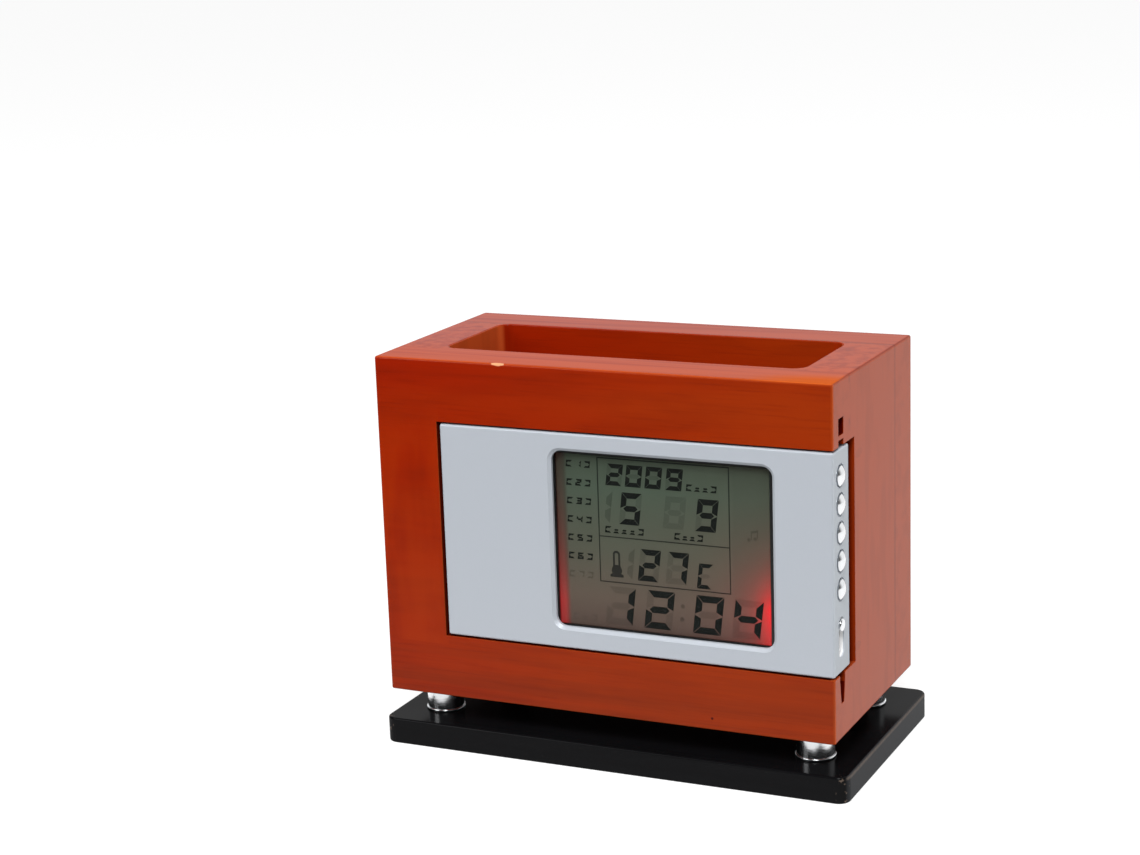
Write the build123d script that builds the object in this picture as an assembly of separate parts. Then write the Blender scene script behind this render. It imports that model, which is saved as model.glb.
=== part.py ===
from build123d import *
from math import asin, cos, sin
import os

# Pen holder clock
# A lacquered wooden pen box stands on four chromed spacers over a black base plate.
# A silver clock module slides into a recess in its front, from the right.
#
# Lengths are in millimetres. The origin is the centre of the base plate's underside,
# +X points to the right of someone facing the clock, +Y to the back and +Z up.

# Base plate
base_thickness = 7.7
base_overhang_left = 1.6
base_overhang_right = 3.9
base_overhang_front = 2.25
base_overhang_back = 3.6
base_corner_radius = 3.5
base_edge_round = 0.6

# Spacers between the base plate and the box, and the screws through them
spacer_height = 8.2
spacer_radius = 5.4
spacer_bead_radius = 0.35
spacer_bead_lift = 0.1
spacer_inset_left = 11.4
spacer_inset_right = 9.9
spacer_inset_front = 12.2
base_screw_radius = 1.75
base_screw_gap = 0.05
base_screw_grip = 12.0
base_screw_head_radius = 3.6
base_screw_head_height = 2.2
base_screw_head_recess = 0.4
base_screw_cross_width = 0.8
base_screw_cross_length = 4.0
base_screw_cross_depth = 1.2

# Wooden box, where the clock side is the front
arris_radius = 0.7
left_stile = 19.05
wood_under_clock = 19.0
wood_over_clock = 18.5
panel_thickness = 1.6
side_wall = 13.9
well_depth = 37.35
back_wall = 15.75
floor_thickness = 8.0
well_corner_radius = 4.0
well_arris = 0.4

# Gaps between the clock and the recess that holds it
recess_gap = 0.6
recess_gap_left = 1.0
recess_gap_behind = 0.6
finger_notch_width = 11.0
finger_notch_depth = 2.75

# Rails of the clock and the grooves that they slide in
rail_thickness = 3.8
rail_reach = 2.1
rail_from_front = 4.6
rail_inset_left = 2.0
rail_inset_right = 7.0
rail_gap = 0.2
rail_gap_under = 0.1

# Router slots in the right end of the front frame, over and under the clock
mouth_depth = 6.0
mouth_bridge = 1.2
mouth_upper_height = 4.7
mouth_lower_height = 6.6
mouth_lower_tip_width = 2.2

# Clock shell and its window
shell_wall = 1.6
shell_face = 1.8
shell_edge_round = 0.7
window_width = 65.35
window_margin_below = 6.15
window_margin_above = 5.25
window_radius = 3.0
window_bevel = 0.9

# Display stack behind the window
lens_margin = 1.5
lens_thickness = 1.0
lens_radius = 3.5
glass_margin = 1.8
glass_margin_bottom = 2.95
glass_gap = 0.2
glass_pane = 0.9
contact_ledge = 2.7
guide_margin = 0.2
guide_gap = 0.2
guide_thickness = 2.0
guide_rear_gap = 0.6
holder_gap = 0.15
holder_wall = 1.1
holder_front_gap = 0.1
zebra_width = 2.0
zebra_inset = 3.7
led_width = 1.6
led_gap = 0.1
led_height = 2.4
led_length = 4.0
led_over_window_foot = 10.85

# Circuit board and the bosses for its screws and for the cover's
board_thickness = 1.2
board_rear_gap = 2.45
board_left_gap = 1.5
board_right_gap = 2.0
board_edge_gap = 0.6
left_boss_strip = 3.85
right_boss_strip = 6.1
board_boss_radius = 1.75
board_boss_inset = 11.0
cover_boss_radius = 2.0
cover_boss_inset = 2.3
boss_clearance = 0.4
pilot_radius = 0.9
pilot_depth = 5.0
small_screw_radius = 0.85
small_screw_gap = 0.1
small_screw_grip = 4.5
small_screw_head_radius = 1.6
small_screw_head_height = 0.9
small_screw_cross_width = 0.5
small_screw_cross_length = 2.0
small_screw_cross_depth = 0.45

# Parts on the circuit board
blob_radius = 6.5
blob_height = 0.9
blob_round = 0.7
crystal_radius = 1.0
crystal_length = 6.0
crystal_over_middle = 5.0
buzzer_plate_radius = 8.0
buzzer_plate = 0.3
buzzer_disc_radius = 5.5
buzzer_disc = 0.3
buzzer_inset_side = 17.0
buzzer_inset_bottom = 13.0
sensor_radius = 1.2
sensor_height = 2.6
sensor_lead_radius = 0.25
sensor_lead_spacing = 1.2
sensor_inset_bottom = 4.8

# Push buttons in the clock's right end wall
button_count = 5
button_under_clock_top = 7.45
button_hole_gap = 0.2
button_proud = 1.2
button_dome_radius = 4.2
button_dish_rim = 0.6
button_dish_depth = 0.35
button_flange_spacing = 0.86
button_flange_lip = 0.75
button_flange = 0.8
button_flange_gap = 0.1
button_stem_radius = 1.2
button_stem_reach = 0.6
button_travel = 0.8
button_stop_gap = 0.1
tact_depth = 3.6
tact_spacing = 1.86
tact_height = 3.7
plunger_radius = 1.0
plunger_reach = 0.6

# Slide switch under the buttons
slider_over_clock_foot = 4.5
slider_under_button = 7.71
slider_length = 11.4
slider_width = 4.4
slider_recess_depth = 0.7
knob_radius = 1.8
knob_end_gap = 0.5
knob_proud = 0.6
knob_gap = 0.1
knob_round = 0.5
knob_stem_radius = 0.7
knob_stem_gap = 0.15
knob_stem_depth = 0.8
switch_depth = 4.4
switch_height = 3.7
switch_end_wall = 1.8
switch_slot_depth = 1.2
switch_gap = 1.8

# Rear cover with its hooks
cover_thickness = 1.6
cover_gap = 0.2
hook_width = 8.0
hook_reach = 0.7
hook_thickness = 0.8
hook_gap = 0.1
hook_inset = 17.0

# Two small dry cells, standing side by side
cell_radius = 5.25
cell_length = 44.5
cell_nub_radius = 1.9
cell_nub_height = 0.8
cell_edge_round = 0.5
cell_spacing = 0.6
cell_side_gap = 0.3
cell_front_gap = 0.3
cell_lid_gap = 0.5
bay_wall = 1.0
bay_edge_gap = 0.2
bay_front_gap = 0.3

# Contacts of the cells, with a bowed strip at each negative end
contact_thickness = 0.4
contact_width = 8.0
contact_height = 7.0
bow_height = 2.4
bow_half_width = 3.2
bow_strip = 0.35
bow_strip_width = 3.0
tab_width = 1.4
tab_step = 0.8
tab_lift = 0.4
tab_slot_gap = 0.15
tab_reach = 3.0
tab_end_gap = 0.8

# Battery door on its raised platform
platform_margin = 1.0
platform_reach = 2.0
guide_wall = 1.4
door_thickness = 1.2
door_side_gap = 0.2
door_end_gap = 0.2
door_under_gap = 0.05
tongue_reach = 0.6
tongue_thickness = 0.4
tongue_gap = 0.1
door_engaged = 2.0
grip_count = 4
grip_pitch = 2.0
grip_width = 0.8
grip_depth = 0.35
grip_length = 14.0
grip_from_edge = 3.0

# Working values for cuts and for finding edges
overrun = 1.0
pick_tolerance = 0.01

# Sizes of the clock, worked out from what it holds
bay_width = 4 * cell_radius + cell_spacing + 2 * cell_side_gap
bay_length = cell_length + bow_height + 2 * contact_thickness
bay_room = bay_edge_gap + 2 * bay_wall + bay_width
holder_room = glass_margin + holder_gap + holder_wall
tact_room = tact_depth + plunger_reach + button_stop_gap + button_travel
flange_room = button_stem_reach + button_flange + button_flange_gap
left_room = shell_wall + bay_room + board_left_gap + left_boss_strip + holder_room
right_room = holder_room + right_boss_strip + tact_room + flange_room + shell_wall
clock_width = left_room + window_width + right_room

tab_room = tab_lift + 2 * tab_width + tab_step + tab_end_gap
clock_height = bay_length + 2 * (bay_wall + tab_room + shell_wall)
window_height = clock_height - window_margin_above - window_margin_below
controls_height = clock_height - button_under_clock_top - slider_over_clock_foot
button_pitch = (controls_height - slider_under_button - slider_length) / (button_count - 1)
button_flange_radius = (button_pitch - button_flange_spacing) / 2
button_radius = button_flange_radius - button_flange_lip
tact_width = button_pitch - tact_spacing

glass_stack = lens_thickness + glass_gap + 2 * glass_pane
guide_stack = guide_gap + guide_thickness + guide_rear_gap
board_depth = shell_face + glass_stack + guide_stack
clock_depth = board_depth + board_thickness + board_rear_gap + cover_thickness

# Sizes of the box, worked out from the clock, the cells and the well
cell_room = cell_front_gap + 2 * cell_radius + cell_lid_gap
front_board = shell_face + cell_room + door_thickness + recess_gap_behind
box_width = left_stile + recess_gap_left + clock_width
box_height = wood_under_clock + clock_height + wood_over_clock
box_depth = front_board + panel_thickness + well_depth + back_wall

# Planes of the base plate, whose middle is the origin
base_right = (base_overhang_left + box_width + base_overhang_right) / 2
base_left = -base_right
base_back = (base_overhang_front + box_depth + base_overhang_back) / 2
base_front = -base_back

# Planes of the box and its well
box_left = base_left + base_overhang_left
box_right = base_right - base_overhang_right
box_front = base_front + base_overhang_front
box_back = base_back - base_overhang_back
box_bottom = base_thickness + spacer_height
box_top = box_bottom + box_height
frame_back = box_front + front_board
well_front = frame_back + panel_thickness
well_back = box_back - back_wall
well_left = box_left + side_wall
well_right = box_right - side_wall
well_floor = box_bottom + floor_thickness

# Planes of the clock and of the recess that holds it
clock_right = box_right
clock_left = clock_right - clock_width
clock_bottom = box_bottom + wood_under_clock
clock_top = clock_bottom + clock_height
clock_front = box_front
clock_back = clock_front + clock_depth
recess_left = clock_left - recess_gap_left
recess_bottom = clock_bottom - recess_gap
recess_top = clock_top + recess_gap
rail_front = clock_front + rail_from_front
rail_back = rail_front + rail_thickness
groove_front = rail_front - rail_gap
groove_back = rail_back + rail_gap
groove_floor = clock_bottom - rail_reach - rail_gap_under
groove_ceiling = clock_top + rail_reach + rail_gap

# Planes inside the shell
inner_left = clock_left + shell_wall
inner_right = clock_right - shell_wall
inner_bottom = clock_bottom + shell_wall
inner_top = clock_top - shell_wall
inner_front = clock_front + shell_face
cover_front = clock_back - cover_thickness

# Planes of the display stack
window_left = clock_left + left_room
window_right = window_left + window_width
window_top = clock_top - window_margin_above
window_bottom = window_top - window_height
lens_back = inner_front + lens_thickness
glass_left = window_left - glass_margin
glass_right = window_right + glass_margin
glass_bottom = window_bottom - glass_margin_bottom
glass_top = window_top + glass_margin
glass_front = lens_back + glass_gap
glass_joint = glass_front + glass_pane
glass_back = glass_joint + glass_pane
guide_left = window_left - guide_margin
guide_right = window_right + guide_margin
guide_bottom = glass_bottom + contact_ledge + guide_gap
guide_front = glass_back + guide_gap
guide_back = guide_front + guide_thickness

# Planes of the circuit board and places of the bosses
board_front = clock_front + board_depth
board_back = board_front + board_thickness
board_left = inner_left + bay_room + board_left_gap
board_right = inner_right - board_right_gap
board_bottom = inner_bottom + board_edge_gap
board_top = inner_top - board_edge_gap
left_strip_x = board_left + left_boss_strip / 2
right_strip_x = window_right + holder_room + right_boss_strip / 2
board_bosses = [
    (x, z)
    for x in (left_strip_x, right_strip_x)
    for z in (board_bottom + board_boss_inset, board_top - board_boss_inset)
]
cover_bosses = [
    (right_strip_x, z) for z in (inner_bottom + cover_boss_inset, inner_top - cover_boss_inset)
]
hook_zs = (clock_bottom + hook_inset, clock_top - hook_inset)

# Planes of the buttons and the slide switch
button_y = board_front - tact_height / 2
button_zs = [clock_top - button_under_clock_top - button_pitch * n for n in range(button_count)]
flange_right = inner_right - button_flange_gap
flange_left = flange_right - button_flange
stem_left = flange_left - button_stem_reach
plunger_right = stem_left - button_travel - button_stop_gap
tact_right = plunger_right - plunger_reach
tact_left = tact_right - tact_depth
slider_bottom = clock_bottom + slider_over_clock_foot
slider_top = slider_bottom + slider_length
knob_high = slider_top - knob_end_gap - knob_radius
knob_low = slider_bottom + knob_end_gap + knob_radius
slot_half_width = knob_stem_radius + knob_stem_gap
slot_low = knob_low - slot_half_width
slot_high = knob_high + slot_half_width
switch_right = inner_right - switch_gap
switch_left = switch_right - switch_depth

# Planes of the battery bay and its door
bay_left = inner_left + bay_edge_gap + bay_wall
bay_right = bay_left + bay_width
bay_bottom = (clock_bottom + clock_top - bay_length) / 2
bay_top = bay_bottom + bay_length
cell_left_x = bay_left + cell_side_gap + cell_radius
cell_right_x = bay_right - cell_side_gap - cell_radius
cell_y = inner_front + cell_front_gap + cell_radius
door_front = cell_y + cell_radius + cell_lid_gap
door_back = door_front + door_thickness
platform_left = bay_left - bay_wall
platform_right = bay_right + platform_reach
platform_bottom = bay_bottom - platform_margin - guide_wall
platform_top = bay_top + platform_margin + guide_wall
door_left = platform_left + bay_wall + door_end_gap
door_right = platform_right
door_bottom = platform_bottom + guide_wall + door_side_gap
door_top = platform_top - guide_wall - door_side_gap
tongue_front = door_front + (door_thickness - tongue_thickness) / 2
tongue_back = tongue_front + tongue_thickness

# Places of the spacers
spacer_xs = {"left": box_left + spacer_inset_left, "right": box_right - spacer_inset_right}
spacer_ys = {"front": box_front + spacer_inset_front, "rear": box_back - spacer_inset_front}
spacer_places = {
    f"{row}_{side}": (x, y) for row, y in spacer_ys.items() for side, x in spacer_xs.items()
}


def block(x_limits, y_limits, z_limits):
    """A plain block between two planes along each axis."""
    sizes = [high - low for low, high in (x_limits, y_limits, z_limits)]
    middles = [(high + low) / 2 for low, high in (x_limits, y_limits, z_limits)]
    return Pos(*middles) * Box(*sizes)


def rod_x(x_limits, y, z, radius):
    """A round bar along X."""
    low, high = x_limits
    return Pos((low + high) / 2, y, z) * Rot(0, 90, 0) * Cylinder(radius, high - low)


def rod_y(y_limits, x, z, radius):
    """A round bar along Y."""
    low, high = y_limits
    return Pos(x, (low + high) / 2, z) * Rot(90, 0, 0) * Cylinder(radius, high - low)


def rod_z(z_limits, x, y, radius):
    """A round bar along Z."""
    low, high = z_limits
    return Pos(x, y, (low + high) / 2) * Cylinder(radius, high - low)


def around(middle, width):
    """The two limits of a width about its middle."""
    return (middle - width / 2, middle + width / 2)


def rounded_plate(x_limits, y_limits, z_limits, radius):
    """A plate facing the front, with its four corners rounded."""
    plate = block(x_limits, y_limits, z_limits)
    return fillet(plate.edges().filter_by(Axis.Y), radius)


def edges_at(solid, axis, position):
    """The edges whose middle lies on the plane square to an axis at a position."""
    return solid.edges().filter_by_position(
        axis, position - pick_tolerance, position + pick_tolerance
    )


def group(pieces):
    """Separate solids that share one name."""
    return Compound(children=[solid for piece in pieces for solid in piece.solids()])


def cross_recess(x, y_limits, z, width, length):
    """The cross that a driver turns, cut along Y."""
    upright = block(around(x, width), y_limits, around(z, length))
    level = block(around(x, length), y_limits, around(z, width))
    return upright + level


# Wooden box

def box_blank():
    """The whole box with its well, before it is divided into boards."""
    blank = block((box_left, box_right), (box_front, box_back), (box_bottom, box_top))
    blank = fillet(blank.edges(), arris_radius)
    well = block((well_left, well_right), (well_front, well_back), (well_floor, box_top + overrun))
    well = fillet(well.edges().filter_by(Axis.Z), well_corner_radius)
    blank -= well
    rim = [
        edge
        for edge in edges_at(blank, Axis.Z, box_top)
        if well_left - pick_tolerance < edge.center().X < well_right + pick_tolerance
        and well_front - pick_tolerance < edge.center().Y < well_back + pick_tolerance
    ]
    return fillet(rim, well_arris)


def screw_pilots():
    """The holes in the box's underside that the base screws grip."""
    radius = base_screw_radius + base_screw_gap
    depth = (box_bottom - overrun, box_bottom + base_screw_grip)
    return [rod_z(depth, x, y, radius) for x, y in spacer_places.values()]


def front_frame(blank):
    """The C shaped front, open to the right, with a groove over and under the clock."""
    board = blank & block((box_left, box_right), (box_front, frame_back), (box_bottom, box_top))
    past_right = box_right + overrun
    through = (box_front - overrun, frame_back + overrun)
    board -= block((recess_left, past_right), through, (recess_bottom, recess_top))
    grooves = (groove_floor, groove_ceiling)
    board -= block((recess_left, past_right), (groove_front, groove_back), grooves)

    mouth = (box_right - mouth_depth, past_right)
    upper_start = groove_ceiling + mouth_bridge
    upper = (upper_start, upper_start + mouth_upper_height)
    board -= block(mouth, (groove_front, groove_back), upper)
    groove_middle = (groove_front + groove_back) / 2
    tip_front, tip_back = around(groove_middle, mouth_lower_tip_width)
    tip = groove_floor - mouth_lower_height
    outline = Polygon(
        (groove_front, groove_floor + overrun),
        (groove_front, groove_floor),
        (tip_front, tip),
        (tip_back, tip),
        (groove_back, groove_floor),
        (groove_back, groove_floor + overrun),
    )
    start = Plane.YZ.offset(box_right - mouth_depth)
    board -= extrude(start * outline, amount=mouth_depth + overrun, dir=(1, 0, 0))
    return board - screw_pilots()


def backing_panel(blank):
    """The thin panel between the clock's recess and the well."""
    return blank & block((well_left, well_right), (frame_back, well_front), (box_bottom, box_top))


def side_board(blank, outer, inner):
    """A side of the well, with the coves at the well's corners."""
    side = block(sorted((outer, inner)), (frame_back, well_back), (box_bottom, box_top))
    reach = well_corner_radius if inner > outer else -well_corner_radius
    cove = block(sorted((inner, inner + reach)), (well_front, well_back), (well_floor, box_top))
    return blank & (side + cove)


def right_side_board(blank):
    """The side beside the clock's end, with a notch for a fingertip behind the clock."""
    notch = block(
        (box_right - finger_notch_width, box_right + overrun),
        (frame_back - overrun, frame_back + finger_notch_depth),
        (recess_bottom, recess_top),
    )
    return side_board(blank, box_right, well_right) - notch


def back_board(blank):
    """The thick board behind the well."""
    board = blank & block((box_left, box_right), (well_back, box_back), (box_bottom, box_top))
    return board - screw_pilots()


def floor_board(blank):
    """The floor of the well."""
    return blank & block((well_left, well_right), (well_front, well_back), (box_bottom, well_floor))


# Base plate, spacers and screws

def countersink(x, y, gap):
    """The space of a base screw, as wide as the gap makes it."""
    shank = base_screw_radius + gap
    head = base_screw_head_radius + gap
    cone_top = base_screw_head_recess + base_screw_head_height
    cone = Cone(head, shank, base_screw_head_height)
    cone_middle = base_screw_head_recess + base_screw_head_height / 2
    return [
        rod_z((-overrun, base_screw_head_recess), x, y, head),
        Pos(x, y, cone_middle) * cone,
        rod_z((cone_top, base_thickness + overrun), x, y, shank),
    ]


def base_plate():
    """The painted plate under everything."""
    plate = block((base_left, base_right), (base_front, base_back), (0, base_thickness))
    plate = fillet(plate.edges().filter_by(Axis.Z), base_corner_radius)
    flat_edges = edges_at(plate, Axis.Z, 0) + edges_at(plate, Axis.Z, base_thickness)
    plate = fillet(flat_edges, base_edge_round)
    for x, y in spacer_places.values():
        plate -= countersink(x, y, base_screw_gap)
    return plate


def spacer(x, y):
    """A turned spacer with a bead round its foot."""
    body = rod_z((base_thickness, box_bottom), x, y, spacer_radius)
    bead_z = base_thickness + spacer_bead_radius + spacer_bead_lift
    body += Pos(x, y, bead_z) * Torus(spacer_radius, spacer_bead_radius)
    bore = (base_thickness - overrun, box_bottom + overrun)
    return body - rod_z(bore, x, y, base_screw_radius + base_screw_gap)


def base_screw(x, y):
    """A countersunk wood screw, up through the plate and a spacer into the box."""
    cone_top = base_screw_head_recess + base_screw_head_height
    cone_middle = base_screw_head_recess + base_screw_head_height / 2
    cone = Cone(base_screw_head_radius, base_screw_radius, base_screw_head_height)
    screw = Pos(x, y, cone_middle) * cone
    screw += rod_z((cone_top, box_bottom + base_screw_grip), x, y, base_screw_radius)
    recess = (base_screw_head_recess - overrun, base_screw_head_recess + base_screw_cross_depth)
    long_way = around(x, base_screw_cross_length)
    short_way = around(x, base_screw_cross_width)
    screw -= block(long_way, around(y, base_screw_cross_width), recess)
    return screw - block(short_way, around(y, base_screw_cross_length), recess)


# Clock shell and cover

def end_slot(x_limits, z_limits, width):
    """A slot with round ends in the right end wall."""
    bottom, top = z_limits
    radius = width / 2
    middle = block(x_limits, around(button_y, width), (bottom + radius, top - radius))
    ends = [rod_x(x_limits, button_y, z, radius) for z in (bottom + radius, top - radius)]
    return middle + ends


def clock_shell():
    """The silver front half of the clock, open at the back."""
    shell = block((clock_left, clock_right), (clock_front, clock_back), (clock_bottom, clock_top))
    shell = fillet(shell.edges(), shell_edge_round)
    cavity = (inner_front, clock_back + overrun)
    shell -= block((inner_left, inner_right), cavity, (inner_bottom, inner_top))

    rail_x = (clock_left + rail_inset_left, clock_right - rail_inset_right)
    shell += block(rail_x, (rail_front, rail_back), (clock_top - shell_wall, clock_top + rail_reach))
    lower_rail = (clock_bottom - rail_reach, clock_bottom + shell_wall)
    shell += block(rail_x, (rail_front, rail_back), lower_rail)

    window_x = (window_left, window_right)
    window_z = (window_bottom, window_top)
    through = (clock_front - overrun, inner_front + overrun)
    shell -= rounded_plate(window_x, through, window_z, window_radius)
    rim = [
        edge
        for edge in edges_at(shell, Axis.Y, clock_front)
        if window_left - pick_tolerance < edge.center().X < window_right + pick_tolerance
        and window_bottom - pick_tolerance < edge.center().Z < window_top + pick_tolerance
    ]
    shell = chamfer(rim, window_bevel)

    for x, z in board_bosses:
        shell += rod_y((inner_front, board_front), x, z, board_boss_radius)
        shell -= rod_y((board_front - pilot_depth, board_front + overrun), x, z, pilot_radius)
    for x, z in cover_bosses:
        shell += rod_y((inner_front, cover_front), x, z, cover_boss_radius)
        shell -= rod_y((cover_front - pilot_depth, cover_front + overrun), x, z, pilot_radius)

    through_wall = (inner_right - overrun, clock_right + overrun)
    dish = (clock_right - button_dish_depth, clock_right + overrun)
    for z in button_zs:
        shell -= rod_x(through_wall, button_y, z, button_radius + button_hole_gap)
        shell -= rod_x(dish, button_y, z, button_radius + button_dish_rim)
    shell -= end_slot(through_wall, (slot_low, slot_high), 2 * slot_half_width)
    slider_recess = (clock_right - slider_recess_depth, clock_right + overrun)
    shell -= end_slot(slider_recess, (slider_bottom, slider_top), slider_width)

    return shell - [hook(z, hook_gap) for z in hook_zs]


def hook(z, gap):
    """A hook on the cover's left edge, or with a gap the pocket that it sits in."""
    left = inner_left + cover_gap - hook_reach
    middle = (cover_front + clock_back) / 2
    return block(
        (left - gap, inner_left + cover_gap),
        around(middle, hook_thickness + 2 * gap),
        around(z, hook_width + 2 * gap),
    )


def clock_rear_cover():
    """The back of the clock, with the battery bay and the platform that its door slides on."""
    cover = block(
        (inner_left + cover_gap, inner_right - cover_gap),
        (cover_front, clock_back),
        (inner_bottom + cover_gap, inner_top - cover_gap),
    )
    cover += [hook(z, 0) for z in hook_zs]
    platform_x = (platform_left, platform_right)
    platform_z = (platform_bottom, platform_top)
    cover += block(platform_x, (cover_front, door_front - door_under_gap), platform_z)
    wall_y = (cover_front, door_back)
    cover += block((platform_left, platform_left + bay_wall), wall_y, platform_z)
    lower_wall = (platform_bottom, platform_bottom + guide_wall)
    upper_wall = (platform_top - guide_wall, platform_top)
    cover += [block(platform_x, wall_y, wall_z) for wall_z in (lower_wall, upper_wall)]
    tub_x = (bay_left - bay_wall, bay_right + bay_wall)
    tub_z = (bay_bottom - bay_wall, bay_top + bay_wall)
    cover += block(tub_x, (inner_front + bay_front_gap, cover_front), tub_z)
    cover -= block((bay_left, bay_right), (inner_front, door_back), (bay_bottom, bay_top))

    groove_y = (tongue_front - tongue_gap, tongue_back + tongue_gap)
    groove_x = (door_left - tongue_gap, platform_right + overrun)
    groove_depth = tongue_reach + tongue_gap
    cover -= block(groove_x, groove_y, (door_bottom - groove_depth, door_bottom))
    cover -= block(groove_x, groove_y, (door_top, door_top + groove_depth))

    slot_y = (board_back - tab_slot_gap, board_back + contact_thickness + tab_slot_gap)
    for x in (cell_left_x, cell_right_x):
        slot_x = around(x, tab_width + 2 * tab_slot_gap)
        cover -= block(slot_x, slot_y, (bay_top - overrun, bay_top + bay_wall))
    for x, z in cover_bosses:
        cover -= rod_y((cover_front - overrun, clock_back), x, z, small_screw_radius + small_screw_gap)
        head = (clock_back - small_screw_head_height, clock_back + overrun)
        cover -= rod_y(head, x, z, small_screw_head_radius + small_screw_gap)
    return cover


def battery_door():
    """The door, whose two tongues run in the grooves of the platform's walls."""
    door = block((door_left, door_right), (door_front, door_back), (door_bottom, door_top))
    tongue_z = (door_bottom - tongue_reach, door_top + tongue_reach)
    door += block((door_left, door_right), (tongue_front, tongue_back), tongue_z)
    middle = (door_bottom + door_top) / 2
    for index in range(grip_count):
        x = door_right - grip_from_edge - grip_pitch * index
        groove_y = (door_back - grip_depth, door_back + overrun)
        door -= block(around(x, grip_width), groove_y, around(middle, grip_length))
    return door


# Display

def display_lens():
    """The clear window, glued behind the shell's face."""
    return rounded_plate(
        (window_left - lens_margin, window_right + lens_margin),
        (inner_front, lens_back),
        (window_bottom - lens_margin, window_top + lens_margin),
        lens_radius,
    )


def lcd_glass():
    """Two panes, where the front one is longer and shows its contacts at the bottom."""
    pane_x = (glass_left, glass_right)
    front = block(pane_x, (glass_front, glass_joint), (glass_bottom, glass_top))
    rear = block(pane_x, (glass_joint, glass_back), (glass_bottom + contact_ledge, glass_top))
    return front + rear


def light_guide():
    """The white sheet that spreads the lamps' light behind the glass."""
    return block((guide_left, guide_right), (guide_front, guide_back), (guide_bottom, glass_top))


def display_holder():
    """The frame that holds the glass and the light guide to the board."""
    depth = (inner_front + holder_front_gap, board_front)
    space = holder_gap + holder_wall
    outer_x = (glass_left - space, glass_right + space)
    outer_z = (glass_bottom - space, glass_top + space)
    inner_x = (glass_left - holder_gap, glass_right + holder_gap)
    inner_z = (glass_bottom - holder_gap, glass_top + holder_gap)
    return block(outer_x, depth, outer_z) - block(inner_x, depth, inner_z)


def zebra_connector():
    """The soft strip that joins the glass's contacts to the board."""
    strip_z = around(glass_bottom + contact_ledge / 2, zebra_width)
    strip_x = (glass_left + zebra_inset, glass_right - zebra_inset)
    return block(strip_x, (glass_joint, board_front), strip_z)


def backlight_leds():
    """Two lamps that shine into the ends of the light guide."""
    z_limits = around(window_bottom + led_over_window_foot, led_length)
    y_limits = (board_front - led_height, board_front)
    left = (guide_left - led_gap - led_width, guide_left - led_gap)
    right = (guide_right + led_gap, guide_right + led_gap + led_width)
    return group([block(x_limits, y_limits, z_limits) for x_limits in (left, right)])


# Circuit board and its parts

def circuit_board():
    """The board, with holes for its screws and notches round the cover's bosses."""
    board = block((board_left, board_right), (board_front, board_back), (board_bottom, board_top))
    through = (board_front - overrun, board_back + overrun)
    for x, z in board_bosses:
        board -= rod_y(through, x, z, small_screw_radius + small_screw_gap)
    for x, z in cover_bosses:
        edge_z = board_bottom if z < (board_bottom + board_top) / 2 else board_top
        half_width = cover_boss_radius + boss_clearance
        board -= rod_y(through, x, z, half_width)
        board -= block(around(x, 2 * half_width), through, sorted((z, edge_z)))
    return board


def controller_blob():
    """The drop of resin over the clock chip."""
    x = (board_left + board_right) / 2
    z = (board_bottom + board_top) / 2
    drop = rod_y((board_back, board_back + blob_height), x, z, blob_radius)
    return fillet(edges_at(drop, Axis.Y, board_back + blob_height), blob_round)


def quartz_crystal():
    """The can of the timekeeping crystal, lying on the board."""
    z = (board_bottom + board_top) / 2 + crystal_over_middle
    y = board_front - crystal_radius
    return rod_z((z, z + crystal_length), left_strip_x, y, crystal_radius)


def buzzer():
    """The sounder, a small disc on a thin round plate."""
    x = board_left + buzzer_inset_side
    z = board_bottom + buzzer_inset_bottom
    plate_back = board_back + buzzer_plate
    plate = rod_y((board_back, plate_back), x, z, buzzer_plate_radius)
    return plate + rod_y((plate_back, plate_back + buzzer_disc), x, z, buzzer_disc_radius)


def temperature_sensor():
    """A bead on two leads, clear of the board."""
    x = left_strip_x
    z = board_bottom + sensor_inset_bottom
    y = board_front - sensor_height
    bead = Pos(x, y, z) * Sphere(sensor_radius)
    leads = [
        rod_y((y, board_front), lead_x, z, sensor_lead_radius)
        for lead_x in around(x, sensor_lead_spacing)
    ]
    return bead + leads


def tact_switches():
    """One switch behind each button, lying on the board."""
    switches = []
    for z in button_zs:
        body = block(
            (tact_left, tact_right), (board_front - tact_height, board_front), around(z, tact_width)
        )
        switches.append(body + rod_x((tact_right, plunger_right), button_y, z, plunger_radius))
    return group(switches)


def slide_switch_body():
    """The case of the slide switch, with the slot that the knob's stem runs in."""
    case = block(
        (switch_left, switch_right),
        (board_front - switch_height, board_front),
        (slot_low - switch_end_wall, slot_high + switch_end_wall),
    )
    slot_x = (switch_right - switch_slot_depth, switch_right + overrun)
    return case - end_slot(slot_x, (slot_low, slot_high), 2 * slot_half_width)


def small_screw(x, z, head_y):
    """A small screw driven towards the front, with its head on the plane given."""
    head = rod_y((head_y, head_y + small_screw_head_height), x, z, small_screw_head_radius)
    shank = rod_y((head_y - small_screw_grip, head_y), x, z, small_screw_radius)
    top = head_y + small_screw_head_height
    recess = (top - small_screw_cross_depth, top + overrun)
    return head + shank - cross_recess(
        x, recess, z, small_screw_cross_width, small_screw_cross_length
    )


# Moving controls

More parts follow.
